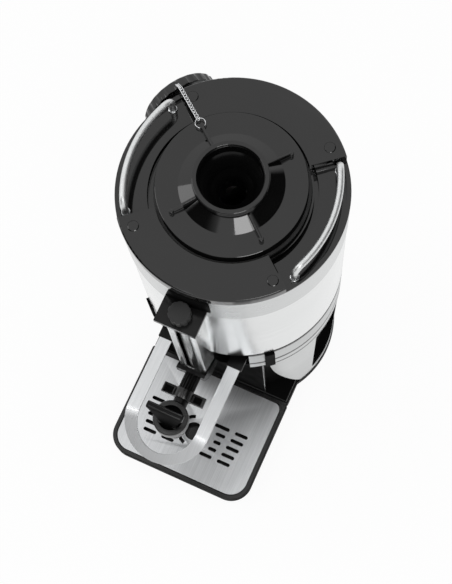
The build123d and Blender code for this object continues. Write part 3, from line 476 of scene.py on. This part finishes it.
def dark_rubber(shade, gloss):
    """Matt rubber of the seals."""
    made, tree, shader = finish_of("seal_rubber_matt")
    dark, light = [(grey,) * 3 for grey in shade]
    tree.links.new(tint(tree, grain(tree, RUBBER_CLOUDS), dark, light), shader.inputs["Base Color"])
    tree.links.new(between(tree, grain(tree, RUBBER_GLOSS_PATCHES), *gloss), shader.inputs["Roughness"])
    relief(tree, shader, grain(tree, RUBBER_TEXTURE), RUBBER_DEPTH)
    return made


TOP_BLACK = moulded_black(
    "top_black_gloss", gloss=(0.04, 0.07), shade=(0.004, 0.006), depth=0.001, texture=GLOSS_TEXTURE,
    index=1.55,
)
SATIN_BLACK = moulded_black("moulded_black_satin", gloss=(0.20, 0.28), shade=(0.005, 0.009), depth=0.01)
FAUCET_BLACK = moulded_black(
    "faucet_black", gloss=(0.18, 0.26), shade=(0.004, 0.007), depth=0.01, mirror=0.16
)
FUNNEL_BLACK = moulded_black(
    "funnel_black", gloss=(0.16, 0.24), shade=(0.003, 0.005), depth=0.001, texture=GLOSS_TEXTURE,
    mirror=0.16,
)
PLATE_BLACK = moulded_black(
    "plate_black", gloss=(0.10, 0.18), shade=(0.008, 0.013), depth=0.004, mirror=0.22
)
KNOB_BLACK = moulded_black(
    "knob_black", gloss=(0.40, 0.50), shade=(0.046, 0.058), depth=0.01, mirror=0.1
)
LEVER_BLACK = moulded_black(
    "lever_black", gloss=(0.10, 0.16), shade=(0.004, 0.007), depth=0.004, mirror=0.14
)
# Matt black of the black parts, and also painted shade on hollows, grooves, cups and gap walls.
DEEP_BLACK = moulded_black(
    "moulded_black_matt", gloss=(0.50, 0.62), shade=(0.003, 0.006), depth=0.01, mirror=0.01
)
# The shell's foot carries a band of painted shade where it meets the stand's rim.
SHELL_STEEL = steel(
    "polished_steel_shell", dark=(0.66, 0.67, 0.67), light=(0.72, 0.73, 0.73), gloss=(0.17, 0.22),
    stretch=(9, 9, 700), depth=0.002, pull=0.7, shaded_seams=((0, BODY_LOW + SHELL_SEAM_SHADE),),
)
BAND_STEEL = steel(
    "brushed_steel_band", dark=(0.48, 0.49, 0.49), light=(0.56, 0.57, 0.57), gloss=(0.24, 0.30),
    stretch=(9, 9, 2600), depth=0.006, pull=0.8,
)
# The stand's rings carry painted shade in the seam gaps between them.
STAND_STEEL = steel(
    "brushed_steel_stand", dark=(0.44, 0.45, 0.45), light=(0.52, 0.53, 0.53), gloss=(0.30, 0.38),
    stretch=(9, 9, 2600), depth=0.006, pull=0.6, shaded_seams=STAND_SEAM_SHADES,
)
COVER_STEEL = steel(
    "brushed_steel_cover", dark=(0.52, 0.53, 0.54), light=(0.66, 0.67, 0.68), gloss=(0.26, 0.34),
    stretch=(2600, 12, 12), depth=0.004,
)
GUARD_STEEL = steel(
    "brushed_steel_guard", dark=(0.62, 0.63, 0.64), light=(0.72, 0.73, 0.74), gloss=(0.26, 0.32),
    stretch=(2600, 12, 12), depth=0.003,
)
ROD_STEEL = steel(
    "ground_steel_rod", dark=(0.68, 0.69, 0.69), light=(0.76, 0.77, 0.77), gloss=(0.42, 0.50),
    stretch=(500, 500, 500), depth=0.002,
)
BRIGHT_STEEL = steel(
    "bright_steel_fittings", dark=(0.72, 0.73, 0.74), light=(0.80, 0.81, 0.82), gloss=(0.08, 0.14),
    stretch=(300, 300, 300), depth=0.002,
)
SHROUD_STEEL = steel(
    "buffed_steel_shroud", dark=(0.58, 0.59, 0.59), light=(0.70, 0.71, 0.71), gloss=(0.16, 0.26),
    stretch=(70, 70, 22), depth=0.5,
)
GLASS = glass_with_painted_streaks(dark=(0.30, 0.31, 0.31), light=(0.97, 0.98, 0.98), gloss=(0.0, 0.05))
RUBBER = dark_rubber(shade=(0.014, 0.028), gloss=(0.55, 0.72))

SLOT_FINISH = {
    "black_plastic": SATIN_BLACK,
    "collar_plastic": TOP_BLACK,
    "satin_steel": BAND_STEEL,
    "polished_steel": BRIGHT_STEEL,
    "clear_glass": GLASS,
    "seal_rubber": RUBBER,
}
NODE_FINISH = {
    "outer_shell": SHELL_STEEL,
    "upper_band": BAND_STEEL,
    "stand_skirt": STAND_STEEL,
    "stand_band": STAND_STEEL,
    "stand_rim": STAND_STEEL,
    "drip_tray_cover": COVER_STEEL,
    "faucet_guard": GUARD_STEEL,
    "handle_left": ROD_STEEL,
    "handle_right": ROD_STEEL,
    "stand_base": DEEP_BLACK,
    "stand_core": DEEP_BLACK,
    "stand_front_panel": DEEP_BLACK,
    "stand_clips": DEEP_BLACK,
    "bottom_housing": DEEP_BLACK,
    "gauge_top_bracket": PLATE_BLACK,
    "gauge_knob": KNOB_BLACK,
    "gauge_shroud": SHROUD_STEEL,
    "gauge_bottom_bracket": FAUCET_BLACK,
    "faucet_body": FAUCET_BLACK,
    "faucet_lever": LEVER_BLACK,
    "faucet_spring": BRIGHT_STEEL,
    "lid_funnel": FUNNEL_BLACK,
}
slot_of = {}
finish_for = {}
for node_name, node in frame["nodes"].items():
    for place in node.material_slots:
        slot_of[node_name] = place.material.name.split(".")[0]
        finish_for[node_name] = NODE_FINISH.get(node_name, SLOT_FINISH[slot_of[node_name]])
        place.material = finish_for[node_name]
body_of = {node_name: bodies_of(node)[0] for node_name, node in frame["nodes"].items()}


# Studio


def area_lamp(name, bearing, height, distance, wide, high, radiance):
    """A softbox that faces the middle of the object's top."""
    middle = (cad_low + cad_high) / 2
    middle.z = cad_high.z
    a = radians(bearing)
    e = radians(height)
    out = Vector((cos(e) * cos(a), cos(e) * sin(a), sin(e)))
    lamp = bpy.data.lights.new(name, "AREA")
    lamp.shape = "RECTANGLE"
    lamp.size = wide
    lamp.size_y = high
    lamp.energy = radiance * pi * wide * high
    box = bpy.data.objects.new(name, lamp)
    box.location = middle + out * distance
    box.rotation_euler = out.to_track_quat("Z", "Y").to_euler()
    bpy.context.scene.collection.objects.link(box)


def step_up(tree, value, at):
    """Soft step from 0 to 1 at an angle in degrees."""
    edge = tree.nodes.new("ShaderNodeMapRange")
    edge.interpolation_type = "SMOOTHSTEP"
    edge.inputs["From Min"].default_value = radians(at - SCREEN_BLUR)
    edge.inputs["From Max"].default_value = radians(at + SCREEN_BLUR)
    tree.links.new(value, edge.inputs["Value"])
    return edge.outputs["Result"]


def inside(tree, value, start, end):
    """1 between two angles and 0 outside them."""
    return maths(tree, "SUBTRACT", step_up(tree, value, start), step_up(tree, value, end))


def seen_ray(tree, *kinds):
    """1 for a ray of any of these kinds."""
    path = tree.nodes.new("ShaderNodeLightPath")
    seen = path.outputs[kinds[0]]
    for kind in kinds[1:]:
        seen = maths(tree, "MAXIMUM", seen, path.outputs[kind])
    return seen


def mix_of(tree, share, first, second):
    """Two shaders, mixed by a number or by a node's output."""
    mix = tree.nodes.new("ShaderNodeMixShader")
    if isinstance(share, (int, float)):
        mix.inputs["Fac"].default_value = share
    else:
        tree.links.new(share, mix.inputs["Fac"])
    tree.links.new(first, mix.inputs[1])
    tree.links.new(second, mix.inputs[2])
    return mix.outputs["Shader"]


def studio_room():
    """White room with two dark screens that only gloss shows."""
    world = bpy.data.worlds.new("studio")
    bpy.context.scene.world = world
    world.use_nodes = True
    tree = world.node_tree
    tree.nodes.clear()
    way = tree.nodes.new("ShaderNodeTexCoord")
    parts = tree.nodes.new("ShaderNodeSeparateXYZ")
    tree.links.new(way.outputs["Generated"], parts.inputs["Vector"])
    bearing = maths(tree, "ARCTAN2", parts.outputs["Y"], parts.outputs["X"])
    height = maths(tree, "ARCSINE", parts.outputs["Z"])
    white = 1.0
    for start, end, low, high in SCREENS:
        screen = maths(tree, "MULTIPLY", inside(tree, bearing, start, end), inside(tree, height, low, high))
        white = maths(tree, "SUBTRACT", white, screen)
    glow = tree.nodes.new("ShaderNodeBackground")
    glow.inputs["Strength"].default_value = ROOM_GLOW
    card = tree.nodes.new("ShaderNodeBackground")
    card.inputs["Strength"].default_value = CARD_WHITE
    walls = tree.nodes.new("ShaderNodeBackground")
    tree.links.new(white, walls.inputs["Strength"])
    for plain in (glow, card, walls):
        plain.inputs["Color"].default_value = WHITE
    shown = mix_of(tree, seen_ray(tree, "Is Glossy Ray"), glow.outputs[0], walls.outputs[0])
    shown = mix_of(tree, seen_ray(tree, "Is Camera Ray", "Is Transmission Ray"), shown, card.outputs[0])
    end = tree.nodes.new("ShaderNodeOutputWorld")
    tree.links.new(shown, end.inputs["Surface"])


def pale_floor():
    """White floor that keeps a soft shadow."""
    bm = bmesh.new()
    bmesh.ops.create_grid(bm, x_segments=1, y_segments=1, size=FLOOR_HALF)
    bmesh.ops.translate(bm, verts=bm.verts, vec=(0, 0, cad_low.z - FLOOR_DROP))
    mesh = bpy.data.meshes.new("floor")
    bm.to_mesh(mesh)
    bm.free()
    floor = bpy.data.objects.new("floor", mesh)
    bpy.context.scene.collection.objects.link(floor)
    paint = bpy.data.materials.new("white_floor")
    paint.use_nodes = True
    tree = paint.node_tree
    tree.nodes.clear()
    matt = tree.nodes.new("ShaderNodeBsdfDiffuse")
    matt.inputs["Color"].default_value = FLOOR_PAINT
    card = tree.nodes.new("ShaderNodeEmission")
    card.inputs["Strength"].default_value = FLOOR_WHITE
    lit = mix_of(tree, FLOOR_SHADOW_SHARE, card.outputs[0], matt.outputs[0])
    shown = mix_of(
        tree, seen_ray(tree, "Is Camera Ray", "Is Glossy Ray", "Is Transmission Ray"), matt.outputs[0], lit
    )
    end = tree.nodes.new("ShaderNodeOutputMaterial")
    tree.links.new(shown, end.inputs["Surface"])
    mesh.materials.append(paint)


def photo_camera():
    """Camera at the photograph's viewing angle."""
    lens = bpy.data.cameras.new("photo_camera")
    lens.sensor_width = FILM
    lens.sensor_fit = "AUTO"
    lens.lens = LENS
    lens.clip_start = NEAREST
    lens.clip_end = FARTHEST
    eye = bpy.data.objects.new("photo_camera", lens)
    eye.location = EYE
    eye.rotation_euler = [radians(turn) for turn in EYE_TURN]
    bpy.context.scene.collection.objects.link(eye)
    bpy.context.scene.camera = eye


studio_room()
pale_floor()
area_lamp("left_softbox", *LEFT_BOX)
area_lamp("front_softbox", *FRONT_BOX)
area_lamp("top_softbox", *TOP_BOX)
photo_camera()
bpy.context.scene.view_settings.view_transform = "Standard"


# Pieces with eased edges, made on the frame's own shapes


def piece_from(bm, name, body, slot, finish, *stands_for, second=None):
    """One piece at the origin, carried by a body, with a second finish where some faces take one."""
    mesh = bpy.data.meshes.new(name)
    bm.to_mesh(mesh)
    bm.free()
    made = bpy.data.objects.new(name, mesh)
    bpy.context.scene.collection.objects.link(made)
    mesh.materials.append(finish)
    if second:
        mesh.materials.append(second)
    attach(made, body)
    if stands_for:
        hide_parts(*stands_for)
    return made


def smooth(made, crease):
    """Round faces shade smooth and real corners stay crisp."""
    made.data.shade_smooth()
    made.data.set_sharp_from_angle(angle=radians(crease))
    return made


def stand_in(bm, name, node_name, crease=CRISP, second=None):
    """A smooth piece that stands for one node, on its body and with its finish."""
    made = piece_from(
        bm, name, body_of[node_name], slot_of[node_name], finish_for[node_name], node_name, second=second
    )
    return smooth(made, crease)


def merged_copy(node_name):
    """The node's shape as one closed skin."""
    bm = bmesh.new()
    bm.from_mesh(frame["nodes"][node_name].data)
    bmesh.ops.remove_doubles(bm, verts=bm.verts, dist=SLIVER * MM)
    bmesh.ops.dissolve_limit(
        bm, angle_limit=radians(FLAT_TURN), use_dissolve_boundaries=False, verts=bm.verts, edges=bm.edges
    )
    return bm


def corners_of(bm, corner=CORNER):
    """Edges that turn by more than a corner's angle."""
    return [edge for edge in bm.edges if edge.is_manifold and edge.calc_face_angle() > radians(corner)]


def rounded(bm, edges, width, segments=EDGE_STEPS):
    """Rounds edges to a width in mm and clears the slivers that this leaves."""
    bmesh.ops.bevel(
        bm,
        geom=edges,
        offset=width * MM,
        offset_type="OFFSET",
        affect="EDGES",
        segments=segments,
        profile=0.5,
        clamp_overlap=True,
        material=-1,
    )
    bmesh.ops.dissolve_degenerate(bm, dist=SLIVER * MM, edges=bm.edges)


def give_second(bm, takes_it):
    """Puts the second finish on the faces that take it."""
    for face in bm.faces:
        face.material_index = int(takes_it(face))


def is_wall(face):
    """Whether a face stands upright."""
    return abs(face.normal.z) < WALL_LEAN


def eased(node_name, width):
    """The node with its sharp edges rounded, as a mould or a polishing wheel leaves them."""
    bm = merged_copy(node_name)
    rounded(bm, corners_of(bm), width)
    stand_in(bm, node_name + "_eased", node_name)


def lever():
    """Paddle lever: rounded bar, shining edges and a matt paddle."""
    _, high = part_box("faucet_lever")
    tip = high.x - LEVER_END_SLACK * MM
    bm = merged_copy("faucet_lever")
    ends = [edge for edge in corners_of(bm) if all(abs(vert.co.x) > tip for vert in edge.verts)]
    rounded(bm, ends, LEVER_END, LEVER_END_STEPS)
    rounded(bm, corners_of(bm), LEVER_EDGE)
    give_second(bm, lambda face: abs(face.normal.y) > PADDLE_LEAN)
    stand_in(bm, "faucet_lever_eased", "faucet_lever", second=DEEP_BLACK)


def lever_ridges():
    """Two grip ridges along the top of the lever's bar."""
    pivot = next(Vector(joint["pos_m"]) for joint in frame["joints"] if joint["name"] == "lever_pull")
    lean = Matrix.Rotation(radians(-LEVER_LEAN), 4, "X")
    bm = bmesh.new()
    for side in (-1, 1):
        ridge = bmesh.ops.create_cone(
            bm, cap_ends=True, segments=RIDGE_SIDES, radius1=RIDGE_R * MM, radius2=RIDGE_R * MM,
            depth=RIDGE_LEN * MM,
        )["verts"]
        lie = Matrix.Translation((0, side * RIDGE_OUT * MM, RIDGE_UP * MM)) @ Matrix.Rotation(pi / 2, 4, "Y")
        bmesh.ops.transform(bm, matrix=Matrix.Translation(pivot) @ lean @ lie, verts=ridge)
    rounded(bm, corners_of(bm, RIDGE_CORNER), RIDGE_R / 2, ROUND_STEPS)
    smooth(piece_from(bm, "lever_ridges", "lever", slot_of["faucet_lever"], TOP_BLACK), RIB_CREASE)


def wing_nut():
    """Nut whose two wings are hollowed on top."""
    bm = merged_copy("wing_nut")
    tops = [
        face for face in bm.faces
        if face.normal.z > WING_TOP_LEAN and abs(face.calc_center_median().x) > WING_IN * MM
    ]
    bmesh.ops.inset_region(
        bm, faces=tops, thickness=WING_RIM * MM, depth=-WING_HOLLOW * MM, use_even_offset=True
    )
    # The hollows' floors take the deep black as painted shade.
    for face in tops:
        face.material_index = 1
    rounded(bm, corners_of(bm, WING_CORNER), WING_EDGE)
    stand_in(bm, "wing_nut_hollowed", "wing_nut", NUT_CREASE, DEEP_BLACK)


def coupling():
    """Ribbed tube: the crests shine, and the grooves take the deep black as painted shade."""
    low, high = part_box("faucet_coupling")
    axis = (low + high) / 2
    bm = merged_copy("faucet_coupling")
    rounded(bm, corners_of(bm, CREST_CORNER), CREST_EDGE, CREST_STEPS)
    give_second(bm, lambda face: (face.calc_center_median() - axis).xz.length < CREST_R * MM)
    stand_in(bm, "faucet_coupling_eased", "faucet_coupling", second=DEEP_BLACK)


def bonnet():
    """Bonnet with a satin rim round a cup darkened with painted shade."""
    low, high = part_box("faucet_bonnet")
    axis = (low + high) / 2

    def in_shaded_cup(face):
        middle = face.calc_center_median()
        return (middle - axis).xy.length < BONNET_CUP_R * MM and middle.z < BONNET_RIM_Z * MM

    bm = merged_copy("faucet_bonnet")
    rounded(bm, corners_of(bm), BONNET_EDGE)
    give_second(bm, in_shaded_cup)
    stand_in(bm, "faucet_bonnet_eased", "faucet_bonnet", second=DEEP_BLACK)


def collar():
    """Collar with crisp edges; the wall of its round opening takes the matt deep black as painted shade."""
    bm = merged_copy("collar")
    rounded(bm, corners_of(bm), COLLAR_EDGE)
    give_second(
        bm, lambda face: is_wall(face) and face.calc_center_median().xy.length < COLLAR_SHADED_WALL_R * MM
    )
    stand_in(bm, "collar_eased", "collar", second=DEEP_BLACK)


def drip_tray():
    """Tray with a satin rim and matt sides."""
    bm = merged_copy("drip_tray")
    rounded(bm, corners_of(bm), TRAY_EDGE)
    give_second(bm, lambda face: abs(face.normal.z) < TRAY_SIDE_LEAN)
    stand_in(bm, "drip_tray_eased", "drip_tray", second=DEEP_BLACK)


def shiny_edged(node_name, width, is_edge):
    """A matt black moulding whose edges wear to a shine."""
    bm = merged_copy(node_name)
    rounded(bm, corners_of(bm), width)
    give_second(bm, is_edge)
    stand_in(bm, node_name + "_eased", node_name, second=SATIN_BLACK)


def is_base_edge(face):
    """Whether a face lies on the rounded upper edge of the stand's base."""
    least, most = BASE_EDGE_LEAN
    return least < face.normal.z < most


def is_panel_edge(face):
    """Whether a face lies on a rounded upright edge of the front panel."""
    return min(abs(face.normal.x), abs(face.normal.y)) > PANEL_EDGE_LEAN


def return_spring():
    """Coiled spring under the bonnet, on a mesh of its own."""
    bm = merged_copy("faucet_spring")
    made = stand_in(bm, "faucet_spring_coil", "faucet_spring", TURNED_CREASE)
    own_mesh(made)


for node_name, width in EASED_MM.items():
    eased(node_name, width)
lever()
lever_ridges()
wing_nut()
coupling()
bonnet()
collar()
drip_tray()
shiny_edged("stand_base", BASE_EDGE, is_base_edge)
shiny_edged("stand_front_panel", PANEL_EDGE, is_panel_edge)
return_spring()


# Pieces drawn from wire, strip and sheet


def of_kind(geometry, kind):
    """The vertices, edges or faces of what an operator gives back."""
    return [item for item in geometry if isinstance(item, kind)]


def drawn_out(bm, edges, way, steps=1):
    """The strip's end edges, drawn on along a straight way."""
    for _ in range(steps):
        grown = bmesh.ops.extrude_edge_only(bm, edges=edges)["geom"]
        verts = of_kind(grown, bmesh.types.BMVert)
        edges = [edge for edge in of_kind(grown, bmesh.types.BMEdge) if all(v in verts for v in edge.verts)]
        bmesh.ops.translate(bm, verts=verts, vec=Vector(way) / steps)
    return edges


def drawn_point(bm, vert, way):
    """A first edge, drawn from one point."""
    grown = bmesh.ops.extrude_vert_indiv(bm, verts=[vert])
    bmesh.ops.translate(bm, verts=grown["verts"], vec=way)
    return grown["edges"]


def faucet_guard():
    """Flat steel loop: two tabs, two arms, a round front, and a soft dip across both arms."""
    _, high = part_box("faucet_guard")
    half_t = GUARD_T * MM / 2
    level = high.z - half_t
    back = high.y - half_t
    turn_y = high.y - (GUARD_LEN - GUARD_HALF) * MM
    inner_half = GUARD_HALF - GUARD_STRIP
    bm = bmesh.new()
    corners = [bm.verts.new((-x * MM, back, level - GUARD_TAB * MM)) for x in (GUARD_HALF, inner_half)]
    edges = drawn_out(bm, [bm.edges.new(corners)], (0, 0, GUARD_TAB * MM))
    edges = drawn_out(bm, edges, (0, turn_y - back, 0), GUARD_ARM_STEPS)
    ends = [vert for edge in edges for vert in edge.verts]
    turned = bmesh.ops.spin(
        bm, geom=edges + ends, cent=(0, turn_y, level), axis=(0, 0, 1), angle=pi, steps=GUARD_STEPS
    )
    edges = of_kind(turned["geom_last"], bmesh.types.BMEdge)
    edges = drawn_out(bm, edges, (0, back - turn_y, 0), GUARD_ARM_STEPS)
    drawn_out(bm, edges, (0, 0, -GUARD_TAB * MM))
    about = Vector((0, turn_y, level))
    middle = (GUARD_HALF + inner_half) / 2 * MM
    inner = [v for v in bm.verts if v.co.y < turn_y and (v.co - about).length < middle]
    reach = (inner_half + GUARD_STRIP - GUARD_FRONT_STRIP) / inner_half
    bmesh.ops.scale(bm, vec=(1, reach, 1), space=Matrix.Translation(-about), verts=inner)
    for k in range(GUARD_FOLDS):
        fold_y = (GUARD_BEND_Y + GUARD_FOLD_STEP * (k - (GUARD_FOLDS - 1) / 2)) * MM
        bmesh.ops.rotate(
            bm,
            cent=(0, fold_y, level),
            matrix=Matrix.Rotation(radians(GUARD_DIP / GUARD_FOLDS), 3, "X"),
            verts=[v for v in bm.verts if v.co.y < fold_y],
        )
    bmesh.ops.recalc_face_normals(bm, faces=bm.faces)
    made = piece_from(
        bm, "faucet_guard_loop", "server", slot_of["faucet_guard"], finish_for["faucet_guard"], "faucet_guard"
    )
    made.data.shade_smooth()
    thick = made.modifiers.new("sheet", "SOLIDIFY")
    thick.thickness = GUARD_T * MM
    thick.offset = 0
    thick.use_even_offset = True
    edge = made.modifiers.new("deburred", "BEVEL")
    edge.width = GUARD_EDGE * MM
    edge.segments = EDGE_STEPS
    edge.limit_method = "ANGLE"
    edge.angle_limit = radians(GUARD_CORNER)
    edge.harden_normals = True


def guard_sockets():
    """Black sockets that hold the guard's arms under the body."""
    _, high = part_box("faucet_guard")
    bm = bmesh.new()
    for side in (-1, 1):
        block = bmesh.ops.create_cube(bm, size=1)["verts"]
        bmesh.ops.scale(bm, vec=[size * MM for size in SOCKET_SIZE], verts=block)
        at = (
            side * (GUARD_HALF - GUARD_STRIP / 2) * MM,
            high.y - SOCKET_SIZE[1] / 2 * MM,
            high.z + (SOCKET_UP - SOCKET_SIZE[2] / 2) * MM,
        )
        bmesh.ops.translate(bm, vec=at, verts=block)
    rounded(bm, bm.edges[:], SOCKET_EDGE)
    smooth(piece_from(bm, "guard_sockets", "server", "black_plastic", FAUCET_BLACK), CRISP)


def bracket_flange():
    """Thin back flange of the gauge bracket, lying on the upper band under the collar."""
    _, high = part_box("gauge_top_bracket")
    left = FLANGE_LEFT / FLANGE_R
    bm = bmesh.new()
    foot = bm.verts.new(
        (FLANGE_R * MM * sin(-left), -FLANGE_R * MM * cos(left), high.z - FLANGE_SINK * MM)
    )
    edges = drawn_point(bm, foot, (0, 0, FLANGE_H * MM))
    ends = [vert for edge in edges for vert in edge.verts]
    sweep = (FLANGE_LEFT + FLANGE_RIGHT) / FLANGE_R
    bmesh.ops.spin(
        bm, geom=edges + ends, cent=(0, 0, 0), axis=(0, 0, 1), angle=sweep, steps=FLANGE_STEPS
    )
    tops = sorted((v for v in bm.verts if v.co.z > high.z), key=lambda v: v.co.x)
    corners = [tops[0], tops[-1]]
    bmesh.ops.rotate(
        bm, cent=(0, 0, 0), matrix=Matrix.Rotation(FLANGE_LEAN / FLANGE_R, 3, "Z"), verts=corners[:1]
    )
    bmesh.ops.translate(bm, verts=corners[:1], vec=(0, 0, -FLANGE_LEAN_DROP * MM))
    bmesh.ops.bevel(
        bm, geom=corners, offset=FLANGE_CORNER * MM, offset_type="OFFSET", affect="VERTICES",
        segments=FLANGE_CORNER_STEPS, profile=0.5, clamp_overlap=True, material=-1,
    )
    bmesh.ops.recalc_face_normals(bm, faces=bm.faces)
    made = piece_from(bm, "gauge_bracket_flange", "server", "black_plastic", DEEP_BLACK)
    made.data.shade_smooth()
    thick = made.modifiers.new("wall", "SOLIDIFY")
    thick.thickness = FLANGE_T * MM
    thick.offset = 0


def wire_ring(bm, wire, radius, turn, steps, rise=0.0):
    """Round wire bent round the upright axis: closed, or rising with its two ends filled."""
    ring = bmesh.ops.create_circle(bm, segments=WIRE_SIDES, radius=wire)["verts"]
    bmesh.ops.rotate(bm, verts=ring, matrix=Matrix.Rotation(pi / 2, 3, "X"))
    bmesh.ops.translate(bm, verts=ring, vec=(radius, 0, -rise / 2))
    edges = list(dict.fromkeys(edge for vert in ring for edge in vert.link_edges))
    bmesh.ops.spin(
        bm, geom=ring + edges, cent=(0, 0, 0), axis=(0, 0, 1), dvec=(0, 0, rise / steps),
        angle=turn, steps=steps, use_merge=not rise,
    )
    bmesh.ops.holes_fill(bm, edges=[edge for edge in bm.edges if edge.is_boundary])
    bmesh.ops.recalc_face_normals(bm, faces=bm.faces)


def split_ring():
    """Ring of two wound turns through the rib's end."""
    bm = bmesh.new()
    wire_ring(bm, RING_WIRE * MM, RING_R * MM, RING_TURNS * WHOLE_TURN, RING_STEPS, RING_RISE * MM)
    place = CHAIN_TURN @ Matrix.Translation((RING_AT * MM, 0, CHAIN_Z * MM))
    start = Matrix.Rotation(radians(RING_START_DEG), 4, "Z")
    bmesh.ops.transform(bm, matrix=place @ start, verts=bm.verts)
    stand_in(bm, "split_ring_wound", "chain_ring", WIRE_CREASE)


def curb_link():
    """One oval link of round wire, twisted so that its neighbours lie flat beside it."""
    bm = bmesh.new()
    wire_ring(bm, LINK_WIRE / 2 * MM, (LINK_WIDE - LINK_WIRE) / 2 * MM, WHOLE_TURN, LINK_STEPS)
    bmesh.ops.rotate(bm, verts=bm.verts, matrix=Matrix.Rotation(pi / LINK_STEPS, 3, "Z"))
    stretch = (LINK_LONG - LINK_WIDE) / 2 * MM
    for side in (-1, 1):
        half = [v for v in bm.verts if v.co.x * side > 0]
        bmesh.ops.translate(bm, verts=half, vec=(side * stretch, 0, 0))
    for vert in bm.verts:
        twist = radians(LINK_TWIST) * vert.co.x / (LINK_LONG / 2 * MM)
        bmesh.ops.rotate(bm, verts=[vert], matrix=Matrix.Rotation(twist, 3, "X"))
    link = bpy.data.meshes.new("curb_link")
    bm.to_mesh(link)
    bm.free()
    return link


def cap_chain():
    """Curb chain from the ring down over the collar to the cap."""
    link = curb_link()
    bm = bmesh.new()
    joint = Vector((JOINT_AT * MM, 0, CHAIN_Z * MM))
    for drop in CHAIN_DROPS:
        fall = Matrix.Rotation(radians(drop), 4, "Y")
        half = fall @ Vector((LINK_PITCH / 2 * MM, 0, 0))
        before = len(bm.verts)
        bm.from_mesh(link)
        bm.verts.ensure_lookup_table()
        place = CHAIN_TURN @ Matrix.Translation(joint + half) @ fall
        bmesh.ops.transform(bm, matrix=place, verts=bm.verts[before:])
        joint += 2 * half
    bpy.data.meshes.remove(link)
    stand_in(bm, "cap_chain_curb", "cap_chain", WIRE_CREASE)


def spun(bm, profile, steps):
    """A closed profile turned once round the upright axis."""
    points = [bm.verts.new((r * MM, 0, z * MM)) for r, z in profile]
    edges = [bm.edges.new(pair) for pair in zip(points, points[1:] + points[:1])]
    bmesh.ops.spin(
        bm, geom=points + edges, cent=(0, 0, 0), axis=(0, 0, 1), angle=WHOLE_TURN, steps=steps,
        use_merge=True,
    )
    bmesh.ops.recalc_face_normals(bm, faces=bm.faces)


def lid_disc():
    """Lid with a crisp edge, cone and neck; its outer wall takes the matt deep black as painted shade."""
    bm = bmesh.new()
    spun(bm, LID_PROFILE, LID_STEPS)
    give_second(
        bm, lambda face: is_wall(face) and face.calc_center_median().xy.length > LID_SHADED_WALL_R * MM
    )
    stand_in(bm, "lid_disc", "lid", second=DEEP_BLACK)


def lid_ribs():
    """Four fins from the neck over the cone, each ending in a round knob."""
    bm = bmesh.new()
    for k in range(RIB_COUNT):
        near = [bm.verts.new((r * MM, -RIB_T / 2 * MM, z * MM)) for r, z in RIB_OUTLINE]
        side = bm.faces.new(near)
        grown = bmesh.ops.extrude_face_region(bm, geom=[side], use_keep_orig=True)["geom"]
        far = of_kind(grown, bmesh.types.BMVert)
        bmesh.ops.translate(bm, verts=far, vec=(0, RIB_T * MM, 0))
        knob = bmesh.ops.create_cone(
            bm, cap_ends=True, segments=KNOB_SIDES, radius1=KNOB_R * MM, radius2=KNOB_R * MM,
            depth=KNOB_H * MM,
        )["verts"]
        bmesh.ops.translate(bm, verts=knob, vec=(KNOB_AT * MM, 0, (KNOB_TOP - KNOB_H / 2) * MM))
        turn = Matrix.Rotation(radians(RIB_DEG) + WHOLE_TURN * k / RIB_COUNT, 3, "Z")
        bmesh.ops.rotate(bm, cent=(0, 0, 0), matrix=turn, verts=near + far + knob)
    bmesh.ops.recalc_face_normals(bm, faces=bm.faces)
    rounded(bm, corners_of(bm, RIB_CORNER), RIB_EDGE, ROUND_STEPS)
    smooth(piece_from(bm, "lid_ribs", "lid", slot_of["lid"], TOP_BLACK), RIB_CREASE)


def neck_thread():
    """Screw thread wound twice round the neck."""
    bm = bmesh.new()
    ridge = [bm.verts.new((r * MM, 0, (THREAD_Z + z) * MM)) for r, z in THREAD_RIDGE]
    edges = [bm.edges.new(pair) for pair in zip(ridge, ridge[1:] + ridge[:1])]
    last = bmesh.ops.spin(
        bm, geom=ridge + edges, cent=(0, 0, 0), axis=(0, 0, 1), angle=THREAD_TURNS * WHOLE_TURN,
        steps=THREAD_STEPS, dvec=(0, 0, THREAD_PITCH * THREAD_TURNS / THREAD_STEPS * MM),
    )["geom_last"]
    bm.faces.new(ridge)
    bmesh.ops.contextual_create(bm, geom=of_kind(last, bmesh.types.BMVert))
    bmesh.ops.recalc_face_normals(bm, faces=bm.faces)
    smooth(piece_from(bm, "neck_thread", "lid", slot_of["lid"], TOP_BLACK), TURNED_CREASE)


def funnel_bowl():
    """Funnel that runs from the neck's mouth in one smooth bowl into its tube."""
    bm = bmesh.new()
    spun(bm, FUNNEL_PROFILE, FUNNEL_STEPS)
    stand_in(bm, "lid_funnel_bowl", "lid_funnel", TURNED_CREASE)


faucet_guard()
guard_sockets()
bracket_flange()
split_ring()
cap_chain()
lid_disc()
lid_ribs()
neck_thread()
funnel_bowl()
